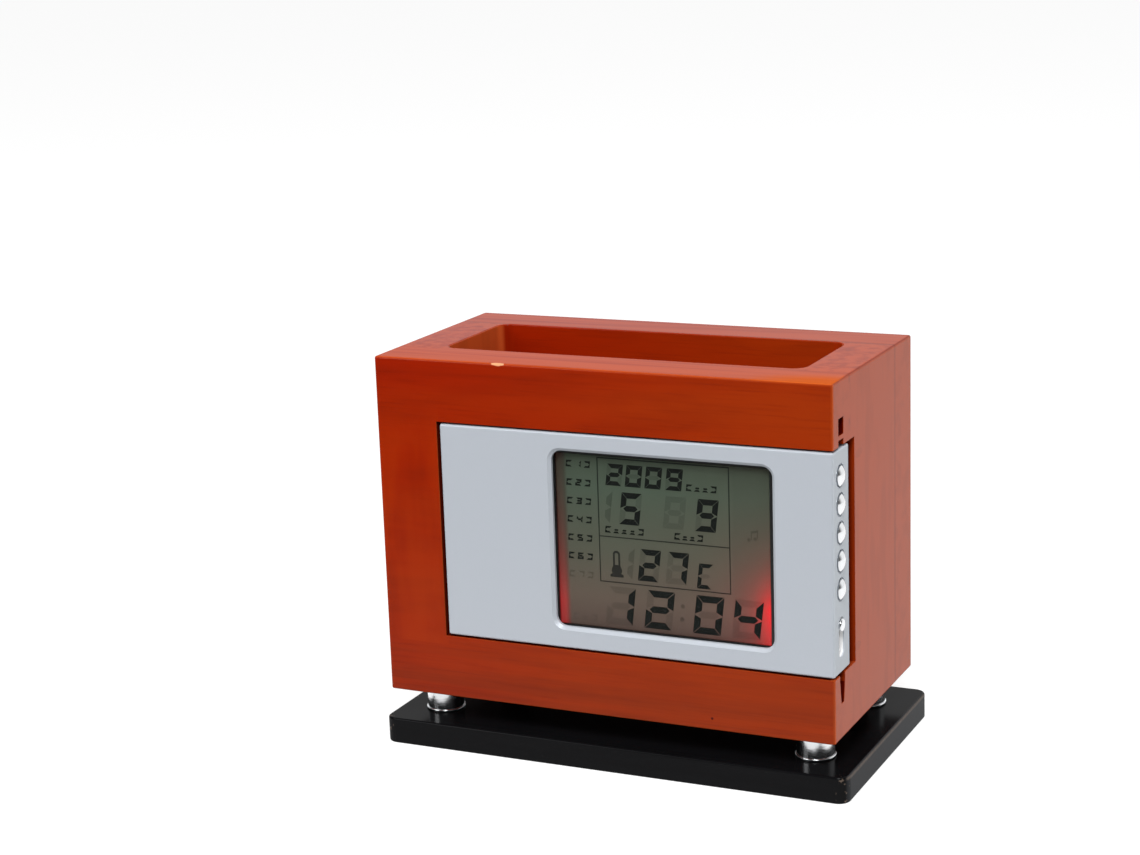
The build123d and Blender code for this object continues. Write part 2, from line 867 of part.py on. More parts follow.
def push_button(z):
    """A domed cap with a flange inside the wall and a stem towards its switch."""
    tip = clock_right + button_proud
    half_angle = asin(button_radius / button_dome_radius) / 2
    dome_centre = tip - button_dome_radius
    dome_foot = dome_centre + button_dome_radius * cos(2 * half_angle)
    dome_middle = (
        dome_centre + button_dome_radius * cos(half_angle),
        button_dome_radius * sin(half_angle),
    )
    steps = Polyline(
        (tip, 0),
        (stem_left, 0),
        (stem_left, button_stem_radius),
        (flange_left, button_stem_radius),
        (flange_left, button_flange_radius),
        (flange_right, button_flange_radius),
        (flange_right, button_radius),
        (dome_foot, button_radius),
    )
    dome = ThreePointArc((dome_foot, button_radius), dome_middle, (tip, 0))
    return Pos(0, button_y, z) * revolve(make_face(steps + dome), Axis.X)


def slide_knob():
    """A round knob in its recess, with the stem that works the switch."""
    knob_left = clock_right - slider_recess_depth + knob_gap
    knob_right = clock_right + knob_proud
    knob = rod_x((knob_left, knob_right), button_y, knob_high, knob_radius)
    knob = fillet(edges_at(knob, Axis.X, knob_right), knob_round)
    stem = (switch_right - knob_stem_depth, knob_left)
    return knob + rod_x(stem, button_y, knob_high, knob_stem_radius)


# Cells and contacts

def cell(x, low_end, nub_up):
    """A dry cell standing on its low end, with its nub up or down."""
    nub_length = (low_end, low_end + cell_length)
    if nub_up:
        body_length = (low_end, low_end + cell_length - cell_nub_height)
    else:
        body_length = (low_end + cell_nub_height, low_end + cell_length)
    body = rod_z(body_length, x, cell_y, cell_radius)
    body = fillet(body.edges().filter_by(GeomType.CIRCLE), cell_edge_round)
    return body + rod_z(nub_length, x, cell_y, cell_nub_radius)


def contact_plate(x_limits, z_limits):
    """A flat plate against an end of the bay."""
    return block(x_limits, around(cell_y, contact_height), z_limits)


def bow(x, plate_z, direction):
    """A bowed strip that stands off a plate and presses on a cell's flat end."""
    radius = (bow_half_width ** 2 + bow_height ** 2) / (2 * bow_height)
    centre_z = plate_z + direction * (bow_height - radius)
    width = around(cell_y, bow_strip_width)
    ring = rod_y(width, x, centre_z, radius) - rod_y(width, x, centre_z, radius - bow_strip)
    keep_z = sorted((plate_z, plate_z + direction * bow_height))
    return ring & block(around(x, 2 * radius), width, keep_z)


def tab(x, level):
    """A flat tab from a contact, through the bay's top wall and over to the board."""
    y_limits = (board_back, board_back + contact_thickness)
    low = bay_top + bay_wall + tab_lift + level * (tab_width + tab_step)
    upright = block(around(x, tab_width), y_limits, (bay_top - contact_thickness, low + tab_width))
    across = block((x - tab_width / 2, board_left + tab_reach), y_limits, (low, low + tab_width))
    return upright + across


def contact_positive():
    """The contact on the left cell's nub."""
    top = (bay_top - contact_thickness, bay_top)
    return contact_plate(around(cell_left_x, contact_width), top) + tab(cell_left_x, 1)


def contact_negative():
    """The sprung contact on the right cell's flat end."""
    top = (bay_top - contact_thickness, bay_top)
    plate = contact_plate(around(cell_right_x, contact_width), top)
    return plate + bow(cell_right_x, bay_top - contact_thickness, -1) + tab(cell_right_x, 0)


def contact_bridge():
    """The contact that joins the two cells at the bottom of the bay."""
    x_limits = (cell_left_x - contact_width / 2, cell_right_x + contact_width / 2)
    plate_top = bay_bottom + contact_thickness
    return contact_plate(x_limits, (bay_bottom, plate_top)) + bow(cell_left_x, plate_top, 1)


# Write each piece to its own file

def write(name, shape):
    export_step(shape, f"parts/{name}.step")


os.makedirs("parts", exist_ok=True)

blank = box_blank()
write("front_frame", front_frame(blank))
write("backing_panel", backing_panel(blank))
write("left_side_board", side_board(blank, box_left, well_left))
write("right_side_board", right_side_board(blank))
write("back_board", back_board(blank))
write("floor_board", floor_board(blank))

write("base_plate", base_plate())
for place, (x, y) in spacer_places.items():
    write(f"spacer_{place}", spacer(x, y))
write("base_screws", group([base_screw(x, y) for x, y in spacer_places.values()]))

write("clock_shell", clock_shell())
write("clock_rear_cover", clock_rear_cover())
write("battery_door", battery_door())
write("display_lens", display_lens())
write("lcd_glass", lcd_glass())
write("light_guide", light_guide())
write("display_holder", display_holder())
write("zebra_connector", zebra_connector())
write("backlight_leds", backlight_leds())

write("circuit_board", circuit_board())
write("controller_blob", controller_blob())
write("quartz_crystal", quartz_crystal())
write("buzzer", buzzer())
write("temperature_sensor", temperature_sensor())
write("tact_switches", tact_switches())
write("slide_switch_body", slide_switch_body())
write("board_screws", group([small_screw(x, z, board_back) for x, z in board_bosses]))
cover_seat = clock_back - small_screw_head_height
write("cover_screws", group([small_screw(x, z, cover_seat) for x, z in cover_bosses]))

for number, z in enumerate(button_zs, start=1):
    write(f"push_button_{number}", push_button(z))
write("slide_knob", slide_knob())

left_cell_low = bay_bottom + contact_thickness + bow_height
right_cell_low = bay_bottom + contact_thickness
write("battery_left", cell(cell_left_x, left_cell_low, True))
write("battery_right", cell(cell_right_x, right_cell_low, False))
write("contact_positive", contact_positive())
write("contact_negative", contact_negative())
write("contact_bridge", contact_bridge())

print("clock slide range:", round(clock_right - clock_left - rail_inset_right, 2))
print("battery door range:", round(door_right - door_left - door_engaged, 2))
print("slide knob range:", round(knob_high - knob_low, 2))
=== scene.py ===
# %% [markdown]
# # Pen holder clock
#
# A red-brown lacquered pen box stands on chromed spacers over a black plate, and a silver clock
# slides into its front. The CAD model already holds every real shape, so this script dresses it: it
# makes the camera and a small studio, gives each piece its finish, and draws the marks of the
# clock's display.
#
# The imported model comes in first. Its pieces keep their places, and whatever is added here is
# placed from their boxes. Blender works in metres, so MM turns a size in millimetres into one that
# it uses.

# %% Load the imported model
import math

import bmesh
import bpy
from mathutils import Matrix, Quaternion, Vector


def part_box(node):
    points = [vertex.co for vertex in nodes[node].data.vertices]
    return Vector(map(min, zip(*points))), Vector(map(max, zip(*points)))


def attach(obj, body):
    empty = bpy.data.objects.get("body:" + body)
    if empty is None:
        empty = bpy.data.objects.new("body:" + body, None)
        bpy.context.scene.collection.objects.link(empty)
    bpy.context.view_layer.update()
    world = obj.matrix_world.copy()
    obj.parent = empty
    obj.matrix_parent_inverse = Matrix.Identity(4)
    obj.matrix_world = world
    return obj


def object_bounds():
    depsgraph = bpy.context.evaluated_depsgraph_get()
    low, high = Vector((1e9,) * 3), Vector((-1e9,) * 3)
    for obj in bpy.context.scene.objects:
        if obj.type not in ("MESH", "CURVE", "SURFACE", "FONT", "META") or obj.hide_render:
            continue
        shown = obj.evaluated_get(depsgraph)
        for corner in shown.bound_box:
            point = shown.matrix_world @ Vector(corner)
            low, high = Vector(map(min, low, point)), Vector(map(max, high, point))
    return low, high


MM = 0.001

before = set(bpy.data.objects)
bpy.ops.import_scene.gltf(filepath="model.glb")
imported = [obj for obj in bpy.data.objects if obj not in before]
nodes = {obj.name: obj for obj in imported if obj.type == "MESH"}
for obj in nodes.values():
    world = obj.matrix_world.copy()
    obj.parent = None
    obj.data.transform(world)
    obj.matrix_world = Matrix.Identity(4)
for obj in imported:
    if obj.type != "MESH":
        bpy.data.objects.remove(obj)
cad_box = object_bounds()
print("pieces:", len(nodes))
print("CAD box in mm:", [[round(value / MM, 1) for value in corner] for corner in cad_box])

# %% [markdown]
# ## Camera
#
# A camera could be turned until the picture looks right, but a likeness needs the real view. Here
# it is given as a photographer would measure it: the point on the object that it aims at, its
# distance, how far round and above it stands, and how far it leans. The lens follows from the
# photograph's width in pixels and the focal length in the same pixels.

# %% Camera
PHOTO_WIDTH = 1140
FOCAL_LENGTH_PIXELS = 2355
SENSOR_WIDTH = 36.0
AIM = Vector((-8.65, -35.48, 99.16)) * MM
CAMERA_DISTANCE = 649.0 * MM
CAMERA_AZIMUTH = math.radians(25.44)
CAMERA_ELEVATION = math.radians(13.27)
CAMERA_LEAN = math.radians(1.98)

ahead = Vector((
    -math.sin(CAMERA_AZIMUTH) * math.cos(CAMERA_ELEVATION),
    math.cos(CAMERA_AZIMUTH) * math.cos(CAMERA_ELEVATION),
    -math.sin(CAMERA_ELEVATION),
))
camera_lens = bpy.data.cameras.new("camera")
camera_lens.sensor_width = SENSOR_WIDTH
camera_lens.lens = SENSOR_WIDTH * FOCAL_LENGTH_PIXELS / PHOTO_WIDTH
camera = bpy.data.objects.new("camera", camera_lens)
camera.location = AIM - ahead * CAMERA_DISTANCE
camera.rotation_mode = "QUATERNION"
camera.rotation_quaternion = Quaternion(ahead, CAMERA_LEAN) @ ahead.to_track_quat("-Z", "Y")
bpy.context.scene.collection.objects.link(camera)
bpy.context.scene.camera = camera
print("lens in mm:", round(camera_lens.lens, 1))

# %% [markdown]
# ## A small language for node trees
#
# A finish is a sum: a colour here, a little darker along the grain, lighter at a worn corner. Node
# trees hold such sums, but a long one is hard to read when each node is made and linked by hand.
# Value wraps a node's output and takes part in Python's arithmetic, so `1 - mask` adds its Math
# node by itself. Graph makes any other node from its type, its settings and what goes into its
# sockets. Both serve materials, the world and Geometry Nodes alike.

# %% Values and graphs
class Value:
    """A node's output. Python's operators on it add Math nodes."""

    def __init__(self, graph, socket):
        self.graph = graph
        self.socket = socket

    def math(self, operation, *values):
        """A Math node with these values on its sockets."""
        return self.graph.node("ShaderNodeMath", {"operation": operation}, dict(enumerate(values)))

    def also(self, output):
        """Another output of the same node."""
        return Value(self.graph, self.socket.node.outputs[output])

    def __add__(self, other):
        return self.math("ADD", self, other)

    def __radd__(self, other):
        return self.math("ADD", other, self)

    def __sub__(self, other):
        return self.math("SUBTRACT", self, other)

    def __rsub__(self, other):
        return self.math("SUBTRACT", other, self)

    def __mul__(self, other):
        return self.math("MULTIPLY", self, other)

    def __rmul__(self, other):
        return self.math("MULTIPLY", other, self)

    def __truediv__(self, other):
        return self.math("DIVIDE", self, other)

    def __pow__(self, other):
        return self.math("POWER", self, other)

    def __abs__(self):
        return self.math("ABSOLUTE", self)


class Graph:
    """A node tree that nodes are added to."""

    def __init__(self, tree):
        self.tree = tree
        self.tree.nodes.clear()

    def node(self, kind, settings=None, inputs=None, output=0):
        """Adds a node, sets it, fills or links its sockets, and gives one of its outputs."""
        made = self.tree.nodes.new(kind)
        for name, setting in (settings or {}).items():
            if name == "stops":
                set_stops(made.color_ramp, setting)
            else:
                setattr(made, name, setting)
        for name, value in (inputs or {}).items():
            if isinstance(value, Value):
                self.tree.links.new(value.socket, made.inputs[name])
            elif isinstance(value, list):
                for one in value:
                    self.tree.links.new(one.socket, made.inputs[name])
            else:
                made.inputs[name].default_value = value
        if made.outputs:
            return Value(self, made.outputs[output])
        return None


def set_stops(ramp, stops):
    """Gives a colour ramp its stops, each a position and a colour."""
    while len(ramp.elements) < len(stops):
        ramp.elements.new(1)
    for element, (position, colour) in zip(ramp.elements, stops):
        element.position = position
        element.color = colour


print("a Value and a Graph are ready")

# %% [markdown]
# Colours are easiest to name as they look on a screen, from 0 to 255, but light adds up in linear
# values, so one helper converts them. The other helpers are the few patterns that the finishes
# share: a stretched noise, a soft step, a mix of two colours, a shallow bump, the point being
# shaded, and the larger or smaller of two values. They use Object coordinates, because each piece's
# object stays at the origin and the pattern then stays on the piece.

# %% Colours and patterns
MIX_FIRST = 6
MIX_SECOND = 7
MIX_COLOUR = 2
WHITE = (1, 1, 1, 1)
BLACK = (0, 0, 0, 1)


def srgb(red, green, blue):
    """A colour as it looks on a screen, turned into linear light."""
    def linear(level):
        share = level / 255
        return share / 12.92 if share <= 0.04045 else ((share + 0.055) / 1.055) ** 2.4

    return (linear(red), linear(green), linear(blue), 1)


def object_point(graph):
    """The shaded point."""
    return graph.node("ShaderNodeTexCoord", output="Object")


def point_of(graph):
    """The shaded point, and its x, y and z."""
    point = object_point(graph)
    x = graph.node("ShaderNodeSeparateXYZ", {}, {"Vector": point})
    return point, x, x.also("Y"), x.also("Z")


def noise(graph, point, cycles, detail=2.0, seed=0.0):
    """Noise from 0 to 1, with so many cycles a metre along each axis."""
    stretched = graph.node(
        "ShaderNodeVectorMath",
        {"operation": "MULTIPLY_ADD"},
        {0: point, 1: cycles, 2: (seed, seed, seed)},
    )
    return graph.node("ShaderNodeTexNoise", {}, {"Vector": stretched, "Scale": 1.0, "Detail": detail})


def soft_step(graph, value, start, end):
    """Rises softly from 0 to 1 as the value goes from start to end."""
    return graph.node(
        "ShaderNodeMapRange",
        {"interpolation_type": "SMOOTHSTEP"},
        {"Value": value, "From Min": start, "From Max": end},
    )


def blend(graph, share, first, second):
    """The second colour over the first, by a share from 0 to 1."""
    return graph.node(
        "ShaderNodeMix",
        {"data_type": "RGBA"},
        {0: share, MIX_FIRST: first, MIX_SECOND: second},
        MIX_COLOUR,
    )


def bump(graph, height, depth):
    """A normal that follows a height from 0 to 1, which stands for so many metres."""
    return graph.node("ShaderNodeBump", {}, {"Height": height, "Distance": depth})


def farther(first, second):
    """The larger of two values."""
    return first.math("MAXIMUM", first, second)


def nearer(first, second):
    """The smaller of two values."""
    return first.math("MINIMUM", first, second)


def new_material(name):
    """A material without nodes so far, and its graph."""
    material = bpy.data.materials.new(name)
    material.use_nodes = True
    return material, Graph(material.node_tree)


def make_finish(name, paint):
    """A material whose Principled shader gets what paint works out."""
    material, graph = new_material(name)
    shader = graph.node("ShaderNodeBsdfPrincipled", {}, paint(graph))
    graph.node("ShaderNodeOutputMaterial", {}, {"Surface": shader})
    return material


def give(material, *names):
    """Puts a material on all the slots of these pieces."""
    for name in names:
        for slot in nodes[name].material_slots:
            slot.material = material


print("a mid grey of 188 is", round(srgb(188, 188, 188)[0], 2), "in linear light")

# %% [markdown]
# ## Studio
#
# The light is soft, from the upper left, and it is bright behind the object and dark in front of
# it: the lacquer mirrors white on the top and the side, and hardly anything on the front. Two large
# soft lamps and a dim even world do the same. What the camera sees behind the object has to be
# white without lighting it more, so the world and the floor tell rays apart. A ray from the camera,
# or one that passes through something clear, finds white. A mirrored ray finds white behind the
# object and a dim studio in front of it. The floor is clear from below, so that the underside can
# be looked at.

# %% Studio
WORLD_LEVEL = 0.5
FRONT_LEVEL = 0.12
BEHIND_IN_WORLD = (0.05, 0.6)
BEHIND_ON_FLOOR = (-0.36, 0.05)
FLOOR_REACH = 6.0
FLOOR_TONE = 0.4
FLOOR_GLOW = 0.75
FLOOR_DIMMED = 0.85
KEY_LAMP = ((0.43, -1.08, 1.4), 0.6, 24)
FILL_LAMP = ((-1.0, -1.2, 0.9), 0.8, 8)
middle = (cad_box[0] + cad_box[1]) / 2


def shown_white(graph, behind):
    """1 for camera rays and rays through clear pieces. Mirrored rays get the share behind."""
    path = graph.node("ShaderNodeLightPath", output="Is Camera Ray")
    direct = farther(path, path.also("Is Transmission Ray"))
    return farther(direct, path.also("Is Glossy Ray") * behind)


def make_world():
    """An even dim world that looks white, but is darker where mirrors look to the front."""
    world = bpy.data.worlds.new("studio")
    world.use_nodes = True
    graph = Graph(world.node_tree)
    direction = graph.node("ShaderNodeTexCoord", output="Generated")
    backwards = graph.node("ShaderNodeSeparateXYZ", {}, {"Vector": direction}, "Y")
    behind = soft_step(graph, backwards, *BEHIND_IN_WORLD)
    mirrored = graph.node("ShaderNodeLightPath", output="Is Glossy Ray") * (1 - behind)
    level = WORLD_LEVEL + (1 - WORLD_LEVEL) * shown_white(graph, behind)
    level = level - mirrored * (WORLD_LEVEL - FRONT_LEVEL)
    sky = graph.node("ShaderNodeBackground", {}, {"Color": WHITE, "Strength": level})
    graph.node("ShaderNodeOutputWorld", {}, {"Surface": sky})
    bpy.context.scene.world = world


def make_floor():
    """A pale floor that looks white and keeps a soft shadow. From below it is clear."""
    mesh = bpy.data.meshes.new("floor")
    corners = [(x * FLOOR_REACH, y * FLOOR_REACH, 0) for x, y in ((-1, -1), (1, -1), (1, 1), (-1, 1))]
    mesh.from_pydata(corners, [], [(0, 1, 2, 3)])
    floor = bpy.data.objects.new("floor", mesh)
    bpy.context.scene.collection.objects.link(floor)
    material, graph = new_material("floor")
    point, x, y, z = point_of(graph)
    behind = soft_step(graph, y, *BEHIND_ON_FLOOR)
    mirrored = graph.node("ShaderNodeLightPath", output="Is Glossy Ray") * (1 - behind)
    tone = FLOOR_TONE * (1 - FLOOR_DIMMED * mirrored)
    matt = graph.node("ShaderNodeBsdfDiffuse", {}, {"Color": tone})
    glow = graph.node("ShaderNodeEmission", {}, {"Strength": shown_white(graph, behind) * FLOOR_GLOW})
    both = graph.node("ShaderNodeAddShader", {}, {0: matt, 1: glow})
    under = graph.node("ShaderNodeNewGeometry", output="Backfacing")
    clear = graph.node("ShaderNodeBsdfTransparent")
    seen = graph.node("ShaderNodeMixShader", {}, {0: under, 1: both, 2: clear})
    graph.node("ShaderNodeOutputMaterial", {}, {"Surface": seen})
    mesh.materials.append(material)


def make_lamp(name, place, size, power):
    """A soft square lamp that is aimed at the middle of the object."""
    light = bpy.data.lights.new(name, "AREA")
    light.size = size
    light.energy = power
    lamp = bpy.data.objects.new(name, light)
    lamp.location = place
    lamp.rotation_mode = "QUATERNION"
    lamp.rotation_quaternion = (middle - Vector(place)).to_track_quat("-Z", "Y")
    bpy.context.scene.collection.objects.link(lamp)


bpy.context.scene.view_settings.view_transform = "Standard"
make_world()
make_floor()
make_lamp("key_lamp", *KEY_LAMP)
make_lamp("fill_lamp", *FILL_LAMP)
print("lamps aim at", [round(value / MM) for value in middle], "mm")

# %% [markdown]
# ## Lacquered wood
#
# The box is red-brown wood under a semi-gloss lacquer. Its grain is fine and straight, with a few
# darker streaks, and the boards shift slowly between red and orange. A picture of wood would need a
# file and a map, so the grain is made from four noises stretched along it instead: slow figure,
# mottle, narrow streaks and fine fibre. They are cut through the solid, so the ends of the boards
# show it as real ends do.
#
# The places of the edges and marks come first. They are measured from the pieces' boxes.

# %% Where the box has its edges and marks
frame_low, frame_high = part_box("front_frame")
back_low, back_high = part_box("back_board")
clock_low, clock_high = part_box("clock_shell")
BOX_LEFT = frame_low.x
BOX_RIGHT = frame_high.x
BOX_FRONT = frame_low.y
BOX_BACK = back_high.y
BOX_BOTTOM = frame_low.z
BOX_TOP = frame_high.z
BACK_JOINT = back_low.y
RECESS_BACK = frame_high.y
RECESS_MIDDLE = (clock_low.z + clock_high.z) / 2
RECESS_HALF_HEIGHT = (clock_high.z - clock_low.z) / 2 + MM
NOTCH_WIDTH = 11 * MM
NOTCH_DEPTH = 2.75 * MM
SLOT_DEPTH = 6 * MM
SLOT_REACH = 40.3 * MM
CHIP_PLACE = (BOX_LEFT + 39.3 * MM, BOX_FRONT, BOX_TOP)
CHIP_SIZE = (2.0 * MM, 0.9 * MM, 0.65 * MM)
CORNER_PLACE = (BOX_RIGHT, BOX_FRONT, BOX_TOP)
CORNER_SIZE = (20 * MM, 9 * MM, 3 * MM)
PIT_PLACE = (BOX_RIGHT - 35.7 * MM, BOX_BOTTOM + 3.4 * MM)
PIT_SIZE = (0.35 * MM, 0.35 * MM)
SMUDGES = (
    (BOX_FRONT + 21.6 * MM, BOX_BOTTOM + 76.7 * MM),
    (BOX_FRONT + 19.6 * MM, BOX_BOTTOM + 22.3 * MM),
)
SMUDGE_SIZE = (2.6 * MM, 1.3 * MM)
SPECKS_PLACE = BOX_FRONT + 13.7 * MM
print("box in mm:", round((BOX_RIGHT - BOX_LEFT) / MM, 1), round((BOX_TOP - BOX_BOTTOM) / MM, 1))

# %% [markdown]
# Each thing that changes the colour is a share from 0 to 1 over the surface. A share comes from a
# noise or from how far the point is from an edge, and soft steps keep it smooth. These helpers give
# the shares: how near the arris a point is, how deep in the box it lies, whether it is in the
# recess, on the upright stile at the left of the clock, or in one of the egg-shaped spots that use
# has left.

# %% Shares of the surface
RECESS_RIM = (0.1 * MM, 0.6 * MM)
RECESS_MOUTH = (0.2 * MM, 2.2 * MM)
SLOT_MOUTH = (0.02 * MM, 0.3 * MM)
RECESS_LIP = 0.2 * MM
RECESS_SOFTNESS = 0.5 * MM
SLOT_SOFTNESS = 0.3 * MM
STILE_FOOT = 0.2 * MM
STILE_HEAD = (-6 * MM, 14 * MM)


def off_the_arris(x, y, z):
    """How far a point is from the box's nearest outer edge."""
    side = nearer(x - BOX_LEFT, BOX_RIGHT - x)
    face = nearer(y - BOX_FRONT, BOX_BACK - y)
    end = nearer(z - BOX_BOTTOM, BOX_TOP - z)
    return nearer(farther(side, face), farther(end, nearer(side, face)))


def into_the_box(x, y, z):
    """How deep a point lies under the box's sides and top."""
    side = nearer(x - BOX_LEFT, BOX_RIGHT - x)
    face = nearer(y - BOX_FRONT, BOX_BACK - y)
    return nearer(nearer(side, face), BOX_TOP - z)


def inside_recess(graph, x, y, z):
    """1 on the clock's recess and the slots over and under it, rising inwards, for painted shade."""
    depth = BOX_RIGHT - x
    off_middle = abs(z - RECESS_MIDDLE)
    behind = soft_step(graph, y - BOX_FRONT, *RECESS_RIM)
    in_notch = soft_step(graph, depth, NOTCH_WIDTH + MM, NOTCH_WIDTH)
    recess = soft_step(graph, x, clock_low.x - 2 * MM, clock_low.x - MM)
    recess = recess * soft_step(graph, depth, *RECESS_MOUTH)
    before_back = RECESS_BACK + MM + NOTCH_DEPTH * in_notch - y
    recess = recess * soft_step(graph, before_back, 0, RECESS_SOFTNESS)
    recess = recess * soft_step(graph, RECESS_HALF_HEIGHT + RECESS_LIP - off_middle, 0, RECESS_LIP)
    slots = soft_step(graph, depth, *SLOT_MOUTH) * soft_step(graph, depth, SLOT_DEPTH + MM, SLOT_DEPTH)
    slots = slots * soft_step(graph, off_middle - RECESS_HALF_HEIGHT, 0, SLOT_SOFTNESS)
    slots = slots * soft_step(graph, SLOT_REACH + SLOT_SOFTNESS - off_middle, 0, SLOT_SOFTNESS)
    slots = slots * soft_step(graph, RECESS_BACK + MM - y, 0, RECESS_SOFTNESS)
    return behind * farther(recess, slots)


def on_the_stile(graph, x, y, z):
    """1 on the front's upright piece at the left of the clock, with a joint at its foot."""
    beside = soft_step(graph, clock_low.x - x, 0, SLOT_SOFTNESS)
    before = soft_step(graph, RECESS_BACK - y, 0, SLOT_SOFTNESS)
    foot = soft_step(graph, z - RECESS_MIDDLE + RECESS_HALF_HEIGHT, -STILE_FOOT, STILE_FOOT)
    head = soft_step(graph, RECESS_MIDDLE + RECESS_HALF_HEIGHT - z, *STILE_HEAD)
    return beside * before * foot * head


def round_spot(graph, point, place, size, wobble, softness=0.2):
    """1 inside an egg-shaped spot with an uneven rim."""
    distance = wobble
    for axis, middle, radius in zip(point, place, size):
        distance = ((axis - middle) / radius) ** 2 + distance
    return soft_step(graph, distance, 1.05 + softness, 1.05 - softness)


print("recess in mm:", round(2 * RECESS_HALF_HEIGHT / MM, 1), "high")

# %% [markdown]
# The grain's noises have many cycles a metre across the grain and few along it, and the side boards
# stand upright, so theirs runs along z. A small class holds all that the finish asks about a point.

# %% A point of the wood
X_AXIS = 0
Z_AXIS = 2
FIGURE_CYCLES = (60, 6)
MOTTLE_CYCLES = (170, 38)
STREAK_CYCLES = (330, 11)
FIBRE_CYCLES = (1900, 60)
STILE_CYCLES = (110, 24)
WOBBLE_CYCLES = (1400, 1400, 1400)
FACING = (0.6, 0.9)
FACING_FRONT = (0.4, 0.7)
HANDLED_AND_SHEEN_REACH = (30 * MM, 2 * MM)
INSIDE = (0.3 * MM, 0.9 * MM)
PIT_REACH = (MM, 0.5 * MM)


def grain_cycles(along, across_and_along):
    """Cycles a metre on each axis: many across the grain, few along it."""
    across, lengthways = across_and_along
    cycles = [across, across, across]
    cycles[along] = lengthways
    return tuple(cycles)


class WoodPoint:
    """A point of the box's surface: its place, the way it faces, its grain and its marks."""

    def __init__(self, graph, along):
        self.graph = graph
        point, x, y, z = point_of(graph)
        self.point, self.x, self.y, self.z = point, x, y, z
        normal = graph.node("ShaderNodeNewGeometry", output="Normal")
        normal = graph.node("ShaderNodeSeparateXYZ", {}, {"Vector": normal})
        self.facing_side = soft_step(graph, abs(normal), *FACING)
        self.facing_up = soft_step(graph, normal.also("Z"), *FACING)
        self.not_facing_front = 1 - soft_step(graph, abs(normal.also("Y")), *FACING_FRONT)
        self.handled_and_sheen = self.facing_up * soft_step(graph, y - BOX_FRONT, *HANDLED_AND_SHEEN_REACH)

        self.figure = noise(graph, point, grain_cycles(along, FIGURE_CYCLES), 4.0, seed=along + 2.3)
        self.mottle = noise(graph, point, grain_cycles(along, MOTTLE_CYCLES), 3.0, seed=4.7)
        self.streaks = noise(graph, point, grain_cycles(along, STREAK_CYCLES), 3.0, seed=7.1)
        self.fibre = noise(graph, point, grain_cycles(along, FIBRE_CYCLES), 2.0)
        self.upright = noise(graph, point, grain_cycles(Z_AXIS, STILE_CYCLES), 3.0, seed=5.9)
        self.wobble = (noise(graph, point, WOBBLE_CYCLES) - 0.5) * 1.6

        self.stile = on_the_stile(graph, x, y, z)
        self.inside = soft_step(graph, into_the_box(x, y, z), *INSIDE)
        self.corner = round_spot(graph, (x, y, z), CORNER_PLACE, CORNER_SIZE, self.wobble * 0.2, 1.0)
        self.chip = round_spot(graph, (x, y, z), CHIP_PLACE, CHIP_SIZE, self.wobble)
        pit = round_spot(graph, (x, z), PIT_PLACE, PIT_SIZE, self.wobble * 0.5)
        self.pit = pit * soft_step(graph, y - BOX_FRONT, *PIT_REACH)


print("figure of a long board:", grain_cycles(X_AXIS, FIGURE_CYCLES), "cycles a metre")

# %% [markdown]
# The colour is laid on in three coats. First comes the grain: red at the left turning to orange at
# the right, darker in each of the four patterns, with the smoother stile and a browner foot. Then
# the lacquer, with light painted into it: the sides and the top are painted paler as a painted
# sheen, and the recess and its slots are painted dark red as painted shade. Last comes wear, with
# some painted light among it: lighter front arrises, partly rubbed lacquer and partly a painted
# highlight, the other arrises painted darker as painted shade, an orange corner, glue along the
# joints, two smudges, a pit and a chip.
#
# A stain is a pattern's first and last level, and the share it reaches there.

# %% Coats of colour
LACQUER_DARK = srgb(98, 20, 6)
LACQUER_RED = srgb(147, 27, 2)
LACQUER_ORANGE = srgb(150, 48, 8)
RECESS_PAINTED_SHADE = srgb(70, 1, 0)
LACQUER_BROWN = srgb(104, 38, 14)
LACQUER_STILE = srgb(168, 52, 6)
LACQUER_THIN_AND_HIGHLIGHT = srgb(214, 104, 40)
LACQUER_PAINTED_SHEEN = srgb(206, 88, 40)
BARE_WOOD = srgb(222, 160, 116)
GLUE = srgb(70, 16, 8)
WARMTH = (-240 * MM, 10 * MM)
WARMTH_SLOPE = 1.2
WARMTH_DRIFT = 180 * MM
FIGURE_STAIN = (0.42, 0.15, 0.6)
MOTTLE_STAIN = (0.42, 0.68, 0.16)
STREAK_STAIN = (0.55, 0.8, 0.24)
FIBRE_STAIN = (0.45, 0.8, 0.22)
FOOT_STAIN = (0.36, 0.62, 0.28)
FOOT_HEIGHT = (34 * MM, 4 * MM)
STILE_DARK_STAIN = (0.48, 0.3, 0.18)
STILE_ORANGE_STAIN = (0.4, 0.62, 0.22)
SIDE_STAIN = (0.45, 0.65, 0.1)
TOP_SHEEN_STREAKS = (0.4, 0.65, 0.25)
SPECKS_STAIN = (0.52, 0.62, 0.22)
SPECKS_CYCLES = (0, 0, 230)
STILE_SMOOTHNESS = 0.75
STILE_SHARE = 0.08
SIDE_SHEEN_SHARE = 0.84
TOP_SHEEN_SHARE = 0.4
FRONT_STRIP_SHEEN_SHARE = 0.2
RECESS_SHADE_SHARE = 0.92
ARRIS_FRONT_WEAR_AND_HIGHLIGHT = 0.16
ARRIS_BACK_SHADE_SHARE = 0.4
CORNER_SHARE = 0.55
JOINT_SHARE = 0.22
SMUDGE_SHARE = 0.1
ARRIS_WIDTH = (0.75 * MM, 0.2 * MM)
ARRIS_WOBBLE = 0.15 * MM
FRONT_EDGE = (1.6 * MM, 0.8 * MM)
JOINT_WIDTH = (1.3 * MM, 0.1 * MM)
SPECKS_WIDTH = (1.1 * MM, 0.2 * MM)


def stained(graph, pattern, stain):
    """How strongly a stain shows, from its pattern."""
    start, end, share = stain
    return soft_step(graph, pattern, start, end) * share


